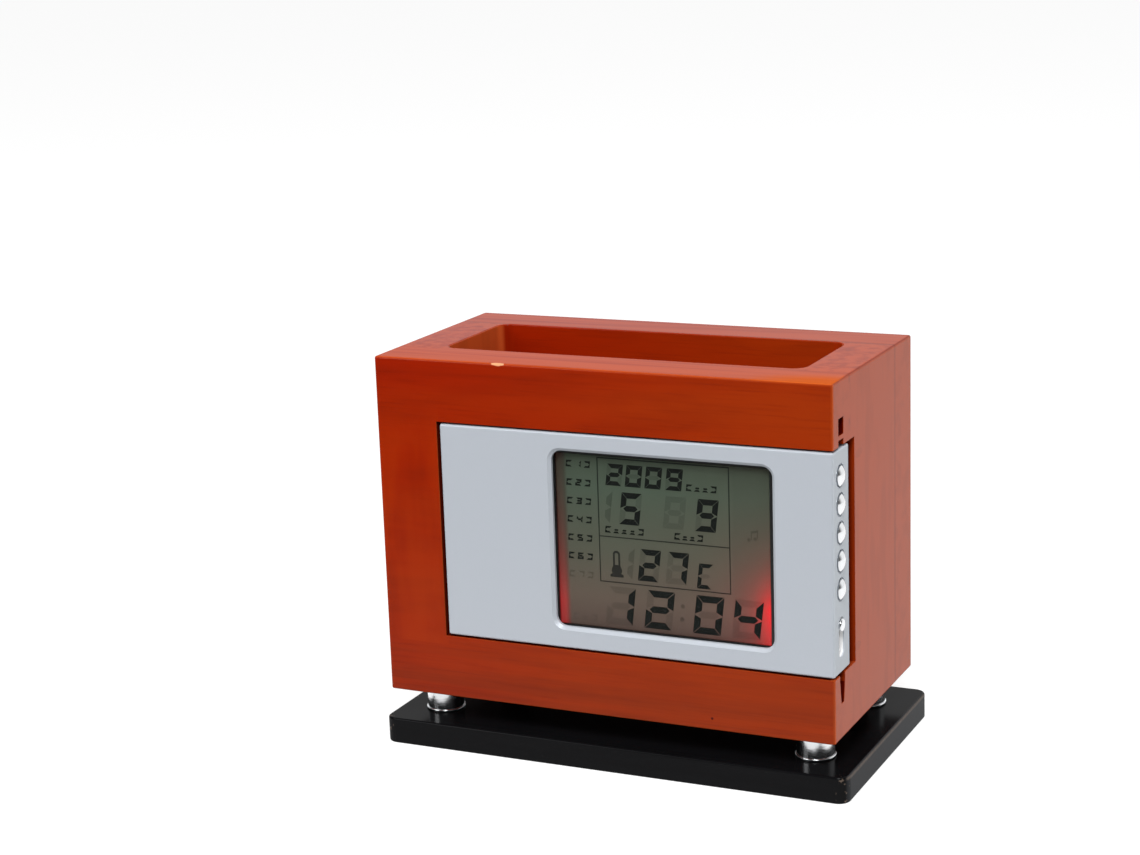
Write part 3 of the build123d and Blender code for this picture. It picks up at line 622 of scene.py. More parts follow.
def grain_colour(wood):
    """Red to orange along the box, darker in the grain."""
    graph = wood.graph
    warm = wood.x - WARMTH_SLOPE * wood.z + (wood.figure - 0.5) * WARMTH_DRIFT
    colour = blend(graph, soft_step(graph, warm, *WARMTH), LACQUER_RED, LACQUER_ORANGE)
    colour = blend(graph, stained(graph, wood.figure, FIGURE_STAIN), colour, LACQUER_DARK)
    colour = blend(graph, stained(graph, wood.mottle, MOTTLE_STAIN), colour, LACQUER_DARK)
    in_rails = 1 - STILE_SMOOTHNESS * wood.stile
    colour = blend(graph, in_rails * stained(graph, wood.streaks, STREAK_STAIN), colour, LACQUER_DARK)
    colour = blend(graph, in_rails * stained(graph, wood.fibre, FIBRE_STAIN), colour, LACQUER_DARK)
    foot = soft_step(graph, wood.z - BOX_BOTTOM, *FOOT_HEIGHT) * (1 - wood.stile)
    colour = blend(graph, foot * stained(graph, wood.streaks, FOOT_STAIN), colour, LACQUER_BROWN)
    orange = STILE_SHARE + stained(graph, wood.upright, STILE_ORANGE_STAIN)
    colour = blend(graph, wood.stile * orange, colour, LACQUER_STILE)
    dark = stained(graph, wood.upright, STILE_DARK_STAIN)
    return blend(graph, wood.stile * dark, colour, LACQUER_DARK)


def lacquer_sheen_and_shade(wood, colour):
    """A painted sheen on the sides and the top, and painted shade in dark red in the recess."""
    graph = wood.graph
    # Painted sheen: the sides and the top are painted paler, more along the top's front strip, less in
    # the streaks.
    top_sheen = wood.facing_up * (TOP_SHEEN_SHARE - stained(graph, wood.streaks, TOP_SHEEN_STREAKS))
    top_sheen = top_sheen + wood.handled_and_sheen * FRONT_STRIP_SHEEN_SHARE
    colour = blend(graph, farther(wood.facing_side * SIDE_SHEEN_SHARE, top_sheen), colour, LACQUER_PAINTED_SHEEN)
    patchy = wood.facing_side * stained(graph, wood.mottle, SIDE_STAIN)
    colour = blend(graph, patchy, colour, LACQUER_DARK)
    # Painted shade: the recess and the slots are painted dark red, more of it deeper in.
    recess_shade = inside_recess(graph, wood.x, wood.y, wood.z)
    return blend(graph, recess_shade * RECESS_SHADE_SHARE, colour, RECESS_PAINTED_SHADE)


def wear_and_arris_light(wood, colour):
    """Front arrises rubbed and given a painted highlight, painted shade on the other arrises, a rubbed
    corner, glue along the joints, and the small marks.
    """
    graph = wood.graph
    uneven_arris = off_the_arris(wood.x, wood.y, wood.z) + wood.wobble * ARRIS_WOBBLE
    arris = soft_step(graph, uneven_arris, *ARRIS_WIDTH)
    at_front = soft_step(graph, wood.y - BOX_FRONT, *FRONT_EDGE)
    joint = soft_step(graph, abs(wood.y - BACK_JOINT), *JOINT_WIDTH)
    specks = soft_step(graph, abs(wood.y - SPECKS_PLACE), *SPECKS_WIDTH)
    specks = specks * stained(graph, noise(graph, wood.point, SPECKS_CYCLES), SPECKS_STAIN)
    coats = [
        # Front arrises: rubbed lacquer and a painted highlight. The other arrises: painted shade.
        (arris * at_front * ARRIS_FRONT_WEAR_AND_HIGHLIGHT, LACQUER_THIN_AND_HIGHLIGHT),
        (arris * (1 - at_front) * ARRIS_BACK_SHADE_SHARE, LACQUER_DARK),
        (wood.corner * wood.facing_up * CORNER_SHARE, LACQUER_THIN_AND_HIGHLIGHT),
        (joint * wood.not_facing_front * JOINT_SHARE, GLUE),
        (specks * wood.facing_side, GLUE),
    ]
    for place in SMUDGES:
        smudge = round_spot(graph, (wood.y, wood.z), place, SMUDGE_SIZE, wood.wobble)
        coats.append((smudge * wood.facing_side * SMUDGE_SHARE, GLUE))
    coats.append((wood.pit, GLUE))
    coats.append((wood.chip, BARE_WOOD))
    for share, coat in coats:
        colour = blend(graph, share, colour, coat)
    return colour


print("a stain reaches a share of", MOTTLE_STAIN[-1], "in the mottle")

# %% [markdown]
# The wood itself is dull. Its shine comes from a clear coat, as lacquer's does, and the coat is
# thinner where hands rub the top, gone in the chip and duller inside the box.

# %% Lacquered wood
def lacquered_wood(name, along):
    """The box's wood, with its grain along one axis."""
    def paint(graph):
        wood = WoodPoint(graph, along)
        rubbed = wood.facing_up * 0.16 + wood.handled_and_sheen * (0.12 + 0.3 * wood.corner)
        pores = soft_step(graph, wood.fibre, 0.5, 0.8)
        height = 0.75 - 0.25 * pores - 0.5 * farther(wood.chip, wood.pit)
        return {
            "Base Color": wear_and_arris_light(wood, lacquer_sheen_and_shade(wood, grain_colour(wood))),
            "Roughness": 0.34 + 0.12 * wood.fibre + 0.35 * wood.chip,
            "Specular IOR Level": 0.0,
            "Coat Weight": 0.6 - farther(0.6 * wood.chip, rubbed) - 0.25 * wood.inside,
            "Coat Roughness": 0.13,
            "Coat IOR": 1.28,
            "Normal": bump(graph, height, 0.05 * MM),
        }

    return make_finish(name, paint)


long_wood = lacquered_wood("lacquered_wood_lengthways", X_AXIS)
give(long_wood, "front_frame", "backing_panel", "back_board", "floor_board")
give(lacquered_wood("lacquered_wood_upright", Z_AXIS), "left_side_board", "right_side_board")
print("the joint of the back board is", round((BACK_JOINT - BOX_FRONT) / MM, 1), "mm behind the front")

# %% [markdown]
# ## Base and spacers
#
# The plate is painted black, smooth enough to mirror the spacers softly. Its right side catches the
# light and looks grey, and that grey is painted on as painted light. A rubbed line runs along its
# upper arris, and specks of paint have come off at the upright corners. The spacers are bright
# chrome, which shows only what is round it, so it needs little more than a clean, slightly uneven
# polish.

# %% Black paint and chrome
plate_low, plate_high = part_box("base_plate")
PAINT_BLACK = srgb(9, 9, 10)
PAINT_BRUSHED = srgb(16, 16, 18)
PAINT_SIDE_PAINTED_LIGHT = srgb(44, 46, 49)
PAINT_RUBBED = srgb(122, 108, 98)
PAINT_WORN = srgb(120, 104, 92)
CHROME = srgb(236, 238, 240)
SPECKLE_CYCLES = (900, 900, 900)
BRUSH_CYCLES = (30, 400, 400)
POLISH_CYCLES = (600, 600, 1500)
PLATE_CORNER = 3.5 * MM
WORN_REACH = 1.2 * MM
WORN_SPECKS = (0.60, 0.70)
SIDE_RIM = (0.9 * MM, 0.2 * MM)
RUBBED_FOOT = (1.3 * MM, 0.5 * MM)
RUBBED_HEAD = 0.4 * MM


def black_paint(graph):
    """Black paint, painted greyer on the right side as painted light, with specks worn off at the
    plate's upright corners.
    """
    point, x, y, z = point_of(graph)
    speckle = noise(graph, point, SPECKLE_CYCLES, 3.0)
    brush = noise(graph, point, BRUSH_CYCLES, 3.0)
    from_corner = farther(plate_high.x - PLATE_CORNER - abs(x), plate_high.y - PLATE_CORNER - abs(y))
    worn = soft_step(graph, from_corner, 0, -WORN_REACH) * soft_step(graph, speckle, *WORN_SPECKS)
    under_top = plate_high.z - z
    at_side = soft_step(graph, plate_high.x - x, *SIDE_RIM)
    rubbed = at_side * soft_step(graph, under_top, *RUBBED_FOOT)
    rubbed = rubbed * soft_step(graph, under_top, 0, RUBBED_HEAD)
    colour = blend(graph, brush, PAINT_BLACK, PAINT_BRUSHED)
    # Painted light: the right side is painted grey.
    colour = blend(graph, at_side, colour, PAINT_SIDE_PAINTED_LIGHT)
    colour = blend(graph, rubbed * (0.25 + speckle * 0.6), colour, PAINT_RUBBED)
    return {
        "Base Color": blend(graph, worn * 0.8, colour, PAINT_WORN),
        "Roughness": 0.36 + 0.2 * speckle,
        "Specular IOR Level": 0.0,
        "Coat Weight": 0.25,
        "Coat Roughness": 0.16,
        "Coat IOR": 1.4,
        "Normal": bump(graph, brush + worn, 0.03 * MM),
    }


def chrome(graph):
    """Bright plating, with the faint unevenness of a polished turning."""
    polish = noise(graph, object_point(graph), POLISH_CYCLES, 2.0)
    return {
        "Base Color": CHROME,
        "Metallic": 1.0,
        "Roughness": 0.13 + 0.1 * polish,
        "Normal": bump(graph, polish, 0.02 * MM),
    }


spacers = sorted(name for name in nodes if name.startswith("spacer_"))
give(make_finish("black_paint", black_paint), "base_plate")
give(make_finish("chrome", chrome), *spacers)
print("spacers:", len(spacers))
print("plate in mm:", [round(value / MM, 1) for value in plate_high - plate_low])

# %% [markdown]
# ## Silver plastic
#
# The clock's front is moulded plastic with a satin silver paint. Real flake is too small to model,
# so a fine noise makes it, as a slight change of tone and of roughness. The end wall is painted a
# little paler than the front, as painted light. It has a recess for the slide switch, whose polished
# floor is smoother, and the same finish paints it white there as a painted reflection.

# %% Silver plastic
shell_low, shell_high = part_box("clock_shell")
knob_low, knob_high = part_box("slide_knob")
SILVER = srgb(184, 190, 198)
SILVER_FLAKE = srgb(226, 230, 236)
SILVER_DRIFT = srgb(168, 174, 184)
SILVER_END_PAINTED_LIGHT = srgb(200, 207, 214)
SWITCH_FLOOR_REFLECTION_WHITE = srgb(255, 255, 255)
BUTTON_SILVER = srgb(232, 234, 236)
FLAKE_CYCLES = (5200, 5200, 5200)
DRIFT_CYCLES = (9, 9, 9)
BUTTON_CYCLES = (700, 700, 700)
END_WALL_LIGHT_DEPTH = (0.3 * MM, 0.05 * MM)
SWITCH_LENGTH = 11.4 * MM
SWITCH_HEIGHT = knob_high.z + 0.5 * MM - SWITCH_LENGTH / 2
SWITCH_ACROSS = (2.4 * MM, 2.2 * MM)
SWITCH_ALONG = (6.1 * MM, 5.9 * MM)
SWITCH_MOUTH = (0.2 * MM, 0.5 * MM)
SWITCH_FLOOR = (2 * MM, MM)
knob_middle = (knob_low + knob_high) / 2


def silver_plastic(graph):
    """Silver paint with fine flake, paler on the end wall as painted light, and white on the smoother
    floor of the switch's recess as a painted reflection.
    """
    point, x, y, z = point_of(graph)
    flake = noise(graph, point, FLAKE_CYCLES, 1.0)
    drift = noise(graph, point, DRIFT_CYCLES, 2.0)
    depth = shell_high.x - x
    recess = soft_step(graph, abs(y - knob_middle.y), *SWITCH_ACROSS)
    recess = recess * soft_step(graph, abs(z - SWITCH_HEIGHT), *SWITCH_ALONG)
    recess = recess * soft_step(graph, depth, *SWITCH_MOUTH) * soft_step(graph, depth, *SWITCH_FLOOR)
    tone = blend(graph, flake * 0.12, SILVER, SILVER_FLAKE)
    tone = blend(graph, drift * 0.10, tone, SILVER_DRIFT)
    # Painted light: the end wall is painted paler than the front.
    tone = blend(graph, soft_step(graph, depth, *END_WALL_LIGHT_DEPTH), tone, SILVER_END_PAINTED_LIGHT)
    return {
        # Painted reflection: the switch's recess floor is painted white.
        "Base Color": blend(graph, recess, tone, SWITCH_FLOOR_REFLECTION_WHITE),
        "Metallic": 0.18 - 0.18 * recess,
        "Roughness": 0.40 + 0.12 * flake - 0.25 * recess,
        "Specular IOR Level": 0.4,
        "Normal": bump(graph, flake, 0.004 * MM),
    }


def button_silver(graph):
    """Polished silver-white plastic, almost a mirror."""
    polish = noise(graph, object_point(graph), BUTTON_CYCLES, 2.0)
    return {"Base Color": BUTTON_SILVER, "Metallic": 1.0, "Roughness": 0.1 + 0.1 * polish}


buttons = sorted(name for name in nodes if name.startswith("push_button_"))
give(make_finish("silver_plastic", silver_plastic), "clock_shell")
give(make_finish("button_silver", button_silver), "slide_knob", *buttons)
print("buttons:", len(buttons))

# %% [markdown]
# ## Display
#
# The display is a pane of glass with dark figures over a grey-green ground. Two red lamps shine in
# from its lower corners, so the ground glows red beside them, and it is painted browner towards the
# bottom as painted lamp light. Its top, its foot and its right edge are painted darker as painted
# shade. One function works out the ground and one the light. The unlit figures use both too, a
# little darker, as the real ones do.

# %% The display's window and ground
WINDOW_MARGIN = 1.5 * MM
lens_low, lens_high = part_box("display_lens")
glass_low, glass_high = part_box("lcd_glass")
WINDOW_LEFT = lens_low.x + WINDOW_MARGIN
WINDOW_RIGHT = lens_high.x - WINDOW_MARGIN
WINDOW_BOTTOM = lens_low.z + WINDOW_MARGIN
WINDOW_TOP = lens_high.z - WINDOW_MARGIN
GROUND_WITH_PAINTED_LIGHT = (
    (0.0, srgb(64, 72, 61)),
    (0.2, srgb(75, 86, 74)),
    (0.55, srgb(86, 86, 75)),
    (0.82, srgb(99, 85, 76)),
    (1.0, srgb(86, 69, 63)),
)
GROUND_RIGHT_PAINTED_SHADE = srgb(40, 46, 42)
RIGHT_SHADE_EDGE = (51.5 * MM, 54 * MM)
RIGHT_SHADE_SHARE = 0.16
GAP = srgb(40, 30, 27)
GAP_SHARE = 0.5
LEFT_STRIP = 3.4 * MM
GAP_EDGE = (LEFT_STRIP + 0.5 * MM, LEFT_STRIP - 0.8 * MM)


def ground_colour(graph, x, z):
    """The ground, top to foot, with painted light and shade in it and the dark gap at its left."""
    drop = (WINDOW_TOP - z) / (WINDOW_TOP - WINDOW_BOTTOM)
    # Painted light: the ramp is darker at the top and the foot as painted shade, and browner lower down
    # as painted lamp light.
    ground = graph.node("ShaderNodeValToRGB", {"stops": GROUND_WITH_PAINTED_LIGHT}, {"Fac": drop})
    across = x - WINDOW_LEFT
    # Painted shade along the right edge.
    beside = soft_step(graph, across, *RIGHT_SHADE_EDGE) * RIGHT_SHADE_SHARE
    gap = soft_step(graph, across, *GAP_EDGE) * GAP_SHARE
    return blend(graph, gap, blend(graph, beside, ground, GROUND_RIGHT_PAINTED_SHADE), GAP)


print("window width in mm:", round((WINDOW_RIGHT - WINDOW_LEFT) / MM, 1))
print("window height in mm:", round((WINDOW_TOP - WINDOW_BOTTOM) / MM, 1))

# %% [markdown]
# Light that enters a sheet at its edge fades fast, as a power of e. The right lamp is the strong
# one: it has a small core, a weak spread and a narrow rim down the window's edge. The left one
# lights only a strip in the dark gap. Each reaches farther down than up, so a height over a lamp is
# stretched by one number and a depth under it by another before it counts as distance.

# %% Light of the two lamps
LAMP_RED = (1.0, 0.03, 0.04, 1)
LAMP_PINK = (1.0, 0.014, 0.022, 1)
RIGHT_LAMP_DROP = 41.0 * MM
RIGHT_LAMP_RIM = (7 * MM, 1 * MM)
LEFT_LAMP_DROP = 44.0 * MM
LEFT_LAMP_STRIP = (LEFT_STRIP + 0.6 * MM, LEFT_STRIP * 0.5)
CORE_REACH = 4.0 * MM
CORE_SHARE = 0.75
SPREAD_REACH = 10 * MM
SPREAD_SHARE = 0.12
RIM_REACH = 4.5 * MM
RIM_SHARE = 0.4
LEFT_REACH = 12 * MM
LEFT_SHARE = 0.33
RIGHT_STRETCH = (0.85, 0.5)
RIM_STRETCH = (1.0, 0.25)
LEFT_STRETCH = (1.0, 0.35)


def fade(distance, reach):
    """1 at no distance, fading to nothing past the reach."""
    return distance.math("EXPONENT", distance / -reach)


def stretched(rise, stretch):
    """How far a height over a lamp, or a depth under it, counts."""
    above, below = stretch
    return farther(rise * above, rise * -below)


def lamp_level(graph, x, z):
    """How strongly the two lamps light a point, and how far that is the strong right lamp's core."""
    right = WINDOW_RIGHT - x
    rise = z - (WINDOW_TOP - RIGHT_LAMP_DROP)
    away = (right ** 2 + stretched(rise, RIGHT_STRETCH) ** 2) ** 0.5
    core = fade(away, CORE_REACH)
    spread = fade(away, SPREAD_REACH)
    rim = soft_step(graph, right, *RIGHT_LAMP_RIM) * fade(stretched(rise, RIM_STRETCH), RIM_REACH)
    left_rise = z - (WINDOW_TOP - LEFT_LAMP_DROP)
    left = soft_step(graph, x - WINDOW_LEFT, *LEFT_LAMP_STRIP)
    left = left * fade(stretched(left_rise, LEFT_STRETCH), LEFT_REACH)
    level = core * CORE_SHARE + spread * SPREAD_SHARE + rim * RIM_SHARE + left * LEFT_SHARE
    return level, core


def lamp_glow(graph, x, z):
    """The colour of the lamps' light on the ground."""
    level, core = lamp_level(graph, x, z)
    return blend(graph, level, BLACK, blend(graph, core, LAMP_RED, LAMP_PINK))


print("right lamp", RIGHT_LAMP_DROP / MM, "mm down, left lamp", LEFT_LAMP_DROP / MM, "mm down")

# %% [markdown]
# A figure of the display is lit, which makes it nearly black, or unlit, and then only a shade
# darker than the ground. So the same finish is made once for the ground and once for each shade.
#
# The clear window before them is a thin sheet. True refraction would keep the lamps' light from
# reaching the display, so the window is transparent, with a mirror laid over it that grows with the
# slant of the view. It is the same on both faces of the sheet, because the light isn't bent between
# them. Its edge is dark, unevenly, as on the real one.

# %% Figures' finishes and the window
UNLIT_INK = srgb(12, 15, 17)
LIT_DARK = srgb(16, 18, 17)
LIT_SOFT = srgb(26, 28, 27)
LIT_CYCLES = (700, 700, 700)
WINDOW_TINT = (0.97, 0.98, 0.97, 1)
WINDOW_DARK_BORDER = srgb(20, 21, 21)
SQUARE_ON_MIRROR = 0.002
DARK_BORDER_EDGES = ((0.05, 0.8), (1.1, 1.35), (0.15, 0.55), (0.7, 0.95))
LIGHT_COVERS = 0.95


def display_finish(name, darker):
    """The display's ground, or the unlit figures on it, which are darker."""
    def paint(graph):
        point, x, y, z = point_of(graph)
        level, core = lamp_level(graph, x, z)
        ground = blend(graph, level * LIGHT_COVERS, ground_colour(graph, x, z), BLACK)
        return {
            "Base Color": blend(graph, darker, ground, UNLIT_INK),
            "Roughness": 0.45,
            "Specular IOR Level": 0.2,
            "Emission Color": blend(graph, darker, lamp_glow(graph, x, z), BLACK),
            "Emission Strength": 1.0,
        }

    return make_finish(name, paint)


def figure_dark(graph):
    """A lit figure, which is nearly black."""
    soft = noise(graph, object_point(graph), LIT_CYCLES, 1.0)
    return {
        "Base Color": blend(graph, soft, LIT_DARK, LIT_SOFT),
        "Roughness": 0.5,
        "Specular IOR Level": 0.1,
    }


def make_window():
    """A clear sheet: it lets light through, mirrors a little, and has a dark uneven border."""
    material, graph = new_material("clear_window")
    clear = graph.node("ShaderNodeBsdfTransparent", {}, {"Color": WINDOW_TINT})
    polished = {"Base Color": WHITE, "Metallic": 1.0, "Roughness": 0.05}
    mirror = graph.node("ShaderNodeBsdfPrincipled", {}, polished)
    slant = graph.node("ShaderNodeLayerWeight", {}, {"Blend": 0.5}, "Facing")
    share = slant ** 5 + SQUARE_ON_MIRROR
    sheet = graph.node("ShaderNodeMixShader", {}, {0: share, 1: clear, 2: mirror})
    dark_border = graph.node("ShaderNodeBsdfPrincipled", {}, {"Base Color": WINDOW_DARK_BORDER, "Roughness": 0.3})
    point, x, y, z = point_of(graph)
    inwards = (x - WINDOW_LEFT, WINDOW_RIGHT - x, z - WINDOW_BOTTOM, WINDOW_TOP - z)
    bare = 1.0
    for distance, (start, end) in zip(inwards, DARK_BORDER_EDGES):
        bare = soft_step(graph, distance, start * MM, end * MM) * bare
    both = graph.node("ShaderNodeMixShader", {}, {0: bare, 1: dark_border, 2: sheet})
    graph.node("ShaderNodeOutputMaterial", {}, {"Surface": both})
    return material


give(display_finish("display_ground", 0.0), "lcd_glass")
give(make_window(), "display_lens")
lit_finish = make_finish("figure_dark", figure_dark)
half_lit_finish = display_finish("figure_half_lit", 0.4)
dim_finish = display_finish("figure_dim", 0.85)
faint_finish = display_finish("figure_faint", 0.3)
unlit_finish = display_finish("figure_unlit", 0.2)
print("the window mirrors", SQUARE_ON_MIRROR, "of what stands square on to it")

# %% [markdown]
# ### Figures of seven bars
#
# Each figure is made of the same seven bars, so this is work for Geometry Nodes. The tree makes the
# seven bars once, each in its place in the figure, and puts one on every point whose "bar" says so.
# A lit figure is then just a few points at its middle. The bars are cut at a slant where they meet,
# and the whole figure leans, which is one small sideways move by the height above its middle.

# %% Geometry tree for the figures
BAR_LETTERS = "abcdefg"
QUARTER_TURN = math.pi / 2
FIGURE_SIZES = ("Width", "Height", "Stroke", "Gap", "Lean", "Thickness")
SEAM = 0.002 * MM


def tree_with_inputs(name, sizes):
    """A geometry tree with its sockets: geometry in and out, a material, and the named sizes."""
    tree = bpy.data.node_groups.new(name, "GeometryNodeTree")
    tree.interface.new_socket("Geometry", in_out="INPUT", socket_type="NodeSocketGeometry")
    tree.interface.new_socket("Material", in_out="INPUT", socket_type="NodeSocketMaterial")
    for size in sizes:
        tree.interface.new_socket(size, in_out="INPUT", socket_type="NodeSocketFloat")
    tree.interface.new_socket("Geometry", in_out="OUTPUT", socket_type="NodeSocketGeometry")
    return tree


def bar(graph, outer, inner, stroke, offset, place, turn, lean):
    """One bar: a trapezium that is turned, put in its place in the figure, and leant."""
    outline = graph.node(
        "GeometryNodeCurvePrimitiveQuadrilateral",
        {"mode": "TRAPEZOID"},
        {"Height": stroke, "Bottom Width": inner, "Top Width": outer, "Offset": offset},
    )
    face = graph.node("GeometryNodeFillCurve", {"mode": "NGONS"}, {"Curve": outline})
    spot = graph.node("ShaderNodeCombineXYZ", {}, dict(zip("XY", place)))
    face = graph.node(
        "GeometryNodeTransform", {}, {"Geometry": face, "Translation": spot, "Rotation": (0, 0, turn)}
    )
    rise = graph.node("ShaderNodeSeparateXYZ", {}, {"Vector": graph.node("GeometryNodeInputPosition")})
    shift = graph.node("ShaderNodeCombineXYZ", {}, {"X": rise.also("Y") * lean})
    return graph.node("GeometryNodeSetPosition", {}, {"Geometry": face, "Offset": shift})


def seven_bars(graph, sizes):
    """The seven bars in their places, from the figure's sizes."""
    width, height, stroke, gap, lean = (sizes[name] for name in FIGURE_SIZES[:-1])
    side_x = width / 2 - stroke / 2
    side_y = height / 4 - stroke / 4
    end_y = height / 2 - stroke / 2
    long_side = width - 2 * gap
    upright_side = height / 2 - 2 * gap
    thin = stroke / 2

    def level(place_y, turn):
        return bar(graph, long_side, long_side - 2 * stroke, stroke, 0, (0, place_y), turn, lean)

    def upright(place_x, place_y, turn, slip):
        inner = upright_side - 1.5 * stroke
        return bar(graph, upright_side, inner, stroke, slip, (place_x, place_y), turn, lean)

    def half_bar(place_y, turn):
        inner = long_side - stroke
        return bar(graph, inner - stroke, inner, thin, 0, (0, place_y), turn, lean)

    halves = [half_bar(thin / 2, 0), half_bar(thin / -2, math.pi)]
    return {
        "a": level(end_y, 0),
        "b": upright(side_x, side_y, -QUARTER_TURN, stroke / -4),
        "c": upright(side_x, side_y * -1, -QUARTER_TURN, stroke / 4),
        "d": level(end_y * -1, math.pi),
        "e": upright(side_x * -1, side_y * -1, QUARTER_TURN, stroke / -4),
        "f": upright(side_x * -1, side_y, QUARTER_TURN, stroke / 4),
        "g": graph.node("GeometryNodeJoinGeometry", {}, {"Geometry": halves}),
    }


def figure_tree():
    """The tree that puts a bar on each point and gives them all their thickness."""
    tree = tree_with_inputs("figures_of_seven_bars", FIGURE_SIZES)
    graph = Graph(tree)
    points = graph.node("NodeGroupInput")
    sizes = {name: points.also(name) for name in FIGURE_SIZES}
    bars = seven_bars(graph, sizes)
    kind = graph.node("GeometryNodeInputNamedAttribute", {"data_type": "INT"}, {"Name": "bar"})
    placed = []
    for number, letter in enumerate(BAR_LETTERS):
        wanted = graph.node(
            "FunctionNodeCompare", {"data_type": "INT", "operation": "EQUAL"}, {2: kind, 3: number}
        )
        placed.append(graph.node(
            "GeometryNodeInstanceOnPoints",
            {},
            {"Points": points, "Selection": wanted, "Instance": bars[letter]},
        ))
    flat = graph.node("GeometryNodeJoinGeometry", {}, {"Geometry": placed})
    flat = graph.node("GeometryNodeRealizeInstances", {}, {"Geometry": flat})
    flat = graph.node("GeometryNodeMergeByDistance", {}, {"Geometry": flat, "Distance": SEAM})
    raised = graph.node(
        "GeometryNodeExtrudeMesh",
        {},
        {"Mesh": flat, "Offset Scale": sizes["Thickness"], "Individual": False},
    )
    under = graph.node("GeometryNodeFlipFaces", {}, {"Mesh": flat})
    closed = graph.node("GeometryNodeJoinGeometry", {}, {"Geometry": [raised, under]})
    closed = graph.node("GeometryNodeMergeByDistance", {}, {"Geometry": closed, "Distance": SEAM})
    done = graph.node(
        "GeometryNodeSetMaterial", {}, {"Geometry": closed, "Material": points.also("Material")}
    )
    graph.node("NodeGroupOutput", {}, {"Geometry": done})
    return tree


figures = figure_tree()
print("the tree has", len(figures.nodes), "nodes")

# %% [markdown]
# The marks are laid out on the window as a designer would draw them: millimetres to the right of
# its left edge and millimetres down from its top. One matrix stands that drawing up on the glass.
# The seven bars also make a few signs that aren't numbers: two brackets and a short double stroke.

# %% From the drawing to the glass
LEAN = 0.122
MARK_THICKNESS = 0.04 * MM
ON_THE_GLASS = Matrix.Translation((WINDOW_LEFT, glass_low.y, WINDOW_TOP))
DRAWING_TO_GLASS = ON_THE_GLASS @ Matrix.Rotation(QUARTER_TURN, 4, "X")
FIGURES = {
    "0": "abcdef", "1": "bc", "2": "abdeg", "3": "abcdg", "4": "bcfg",
    "5": "acdfg", "6": "acdefg", "7": "abc", "8": "abcdefg", "9": "abcdfg",
    "[": "adef", "]": "abcd", "=": "dg",
}


def baked(piece):
    """A plain mesh of what a piece and its modifiers show."""
    graph = bpy.context.evaluated_depsgraph_get()
    return bpy.data.meshes.new_from_object(piece.evaluated_get(graph), depsgraph=graph)


def put_on_glass(name, mesh, finish):
    """A flat drawing's mesh becomes a piece of the display."""
    mesh.transform(DRAWING_TO_GLASS)
    mesh.materials.clear()
    mesh.materials.append(finish)
    piece = bpy.data.objects.new(name, mesh)
    bpy.context.scene.collection.objects.link(piece)
    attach(piece, "clock")
    return piece


def figures_piece(name, marks, sizes, finish):
    """Figures of one size as one piece. Each mark is its bars and its place on the drawing."""
    spots = [(letter, across, down) for letters, across, down in marks for letter in letters]
    mesh = bpy.data.meshes.new(name + "_points")
    mesh.from_pydata([(across * MM, -down * MM, 0) for letter, across, down in spots], [], [])
    kinds = mesh.attributes.new("bar", "INT", "POINT")
    kinds.data.foreach_set("value", [BAR_LETTERS.index(letter) for letter, across, down in spots])
    holder = bpy.data.objects.new(name + "_points", mesh)
    bpy.context.scene.collection.objects.link(holder)
    maker = holder.modifiers.new("figures", "NODES")
    maker.node_group = figures
    inputs = [item for item in figures.interface.items_tree if item.in_out == "INPUT"]
    sockets = {item.name: item.identifier for item in inputs}
    settings = [size * MM for size in sizes] + [LEAN, MARK_THICKNESS]
    for size, value in zip(FIGURE_SIZES, settings):
        maker[sockets[size]] = value
    maker[sockets["Material"]] = finish
    mesh = baked(holder)
    bpy.data.objects.remove(holder)
    return put_on_glass(name, mesh, finish)


print("bars of an 8:", FIGURES["8"])

# %% [markdown]
# A figure's lit bars are one piece and the bars left over are another, because their finishes
# differ. The sizes are each figure's width, height, stroke and gap, and the rows say how far across
# each figure stands.

# %% Figures of the display
YEAR_SIZE = (4.75, 6.2, 1.25, 0.05)
DATE_SIZE = (6.1, 9.2, 1.65, 0.08)
SCALE_SIZE = (4.2, 7.2, 1.15, 0.06)
TIME_SIZE = (8.2, 11.1, 1.95, 0.13)
YEAR_DOWN = 6.3
DATE_DOWN = 15.7
DEGREES_DOWN = 31.5
TIME_DOWN = 44.1
YEAR_ROW = tuple(zip("2009", (18.2, 24.0, 29.9, 36.05)))
DATE_ROW = (("5", 22.8), ("9", 45.45))
DEGREES_ROW = (("2", 28.05), ("7", 36.4))
TIME_ROW = (("2", 30.8), ("0", 45.4), ("4", 56.9))
MONTH_TENS_ACROSS = 13.9
DATE_TENS_ACROSS = 35.95
HUNDREDS_ACROSS = 20.2
HOUR_TENS_ACROSS = 19.0
SCALE_PLACE = (44.6, 33.0)


def unlit(letters):
    """The bars that are left over in a figure."""
    return "".join(letter for letter in BAR_LETTERS if letter not in letters)


def lit_marks(row, down):
    """The lit bars of a row of figures."""
    return [(FIGURES[figure], across, down) for figure, across in row]


def unlit_marks(row, down):
    """The unlit bars of the same row."""
    return [(unlit(FIGURES[figure]), across, down) for figure, across in row]


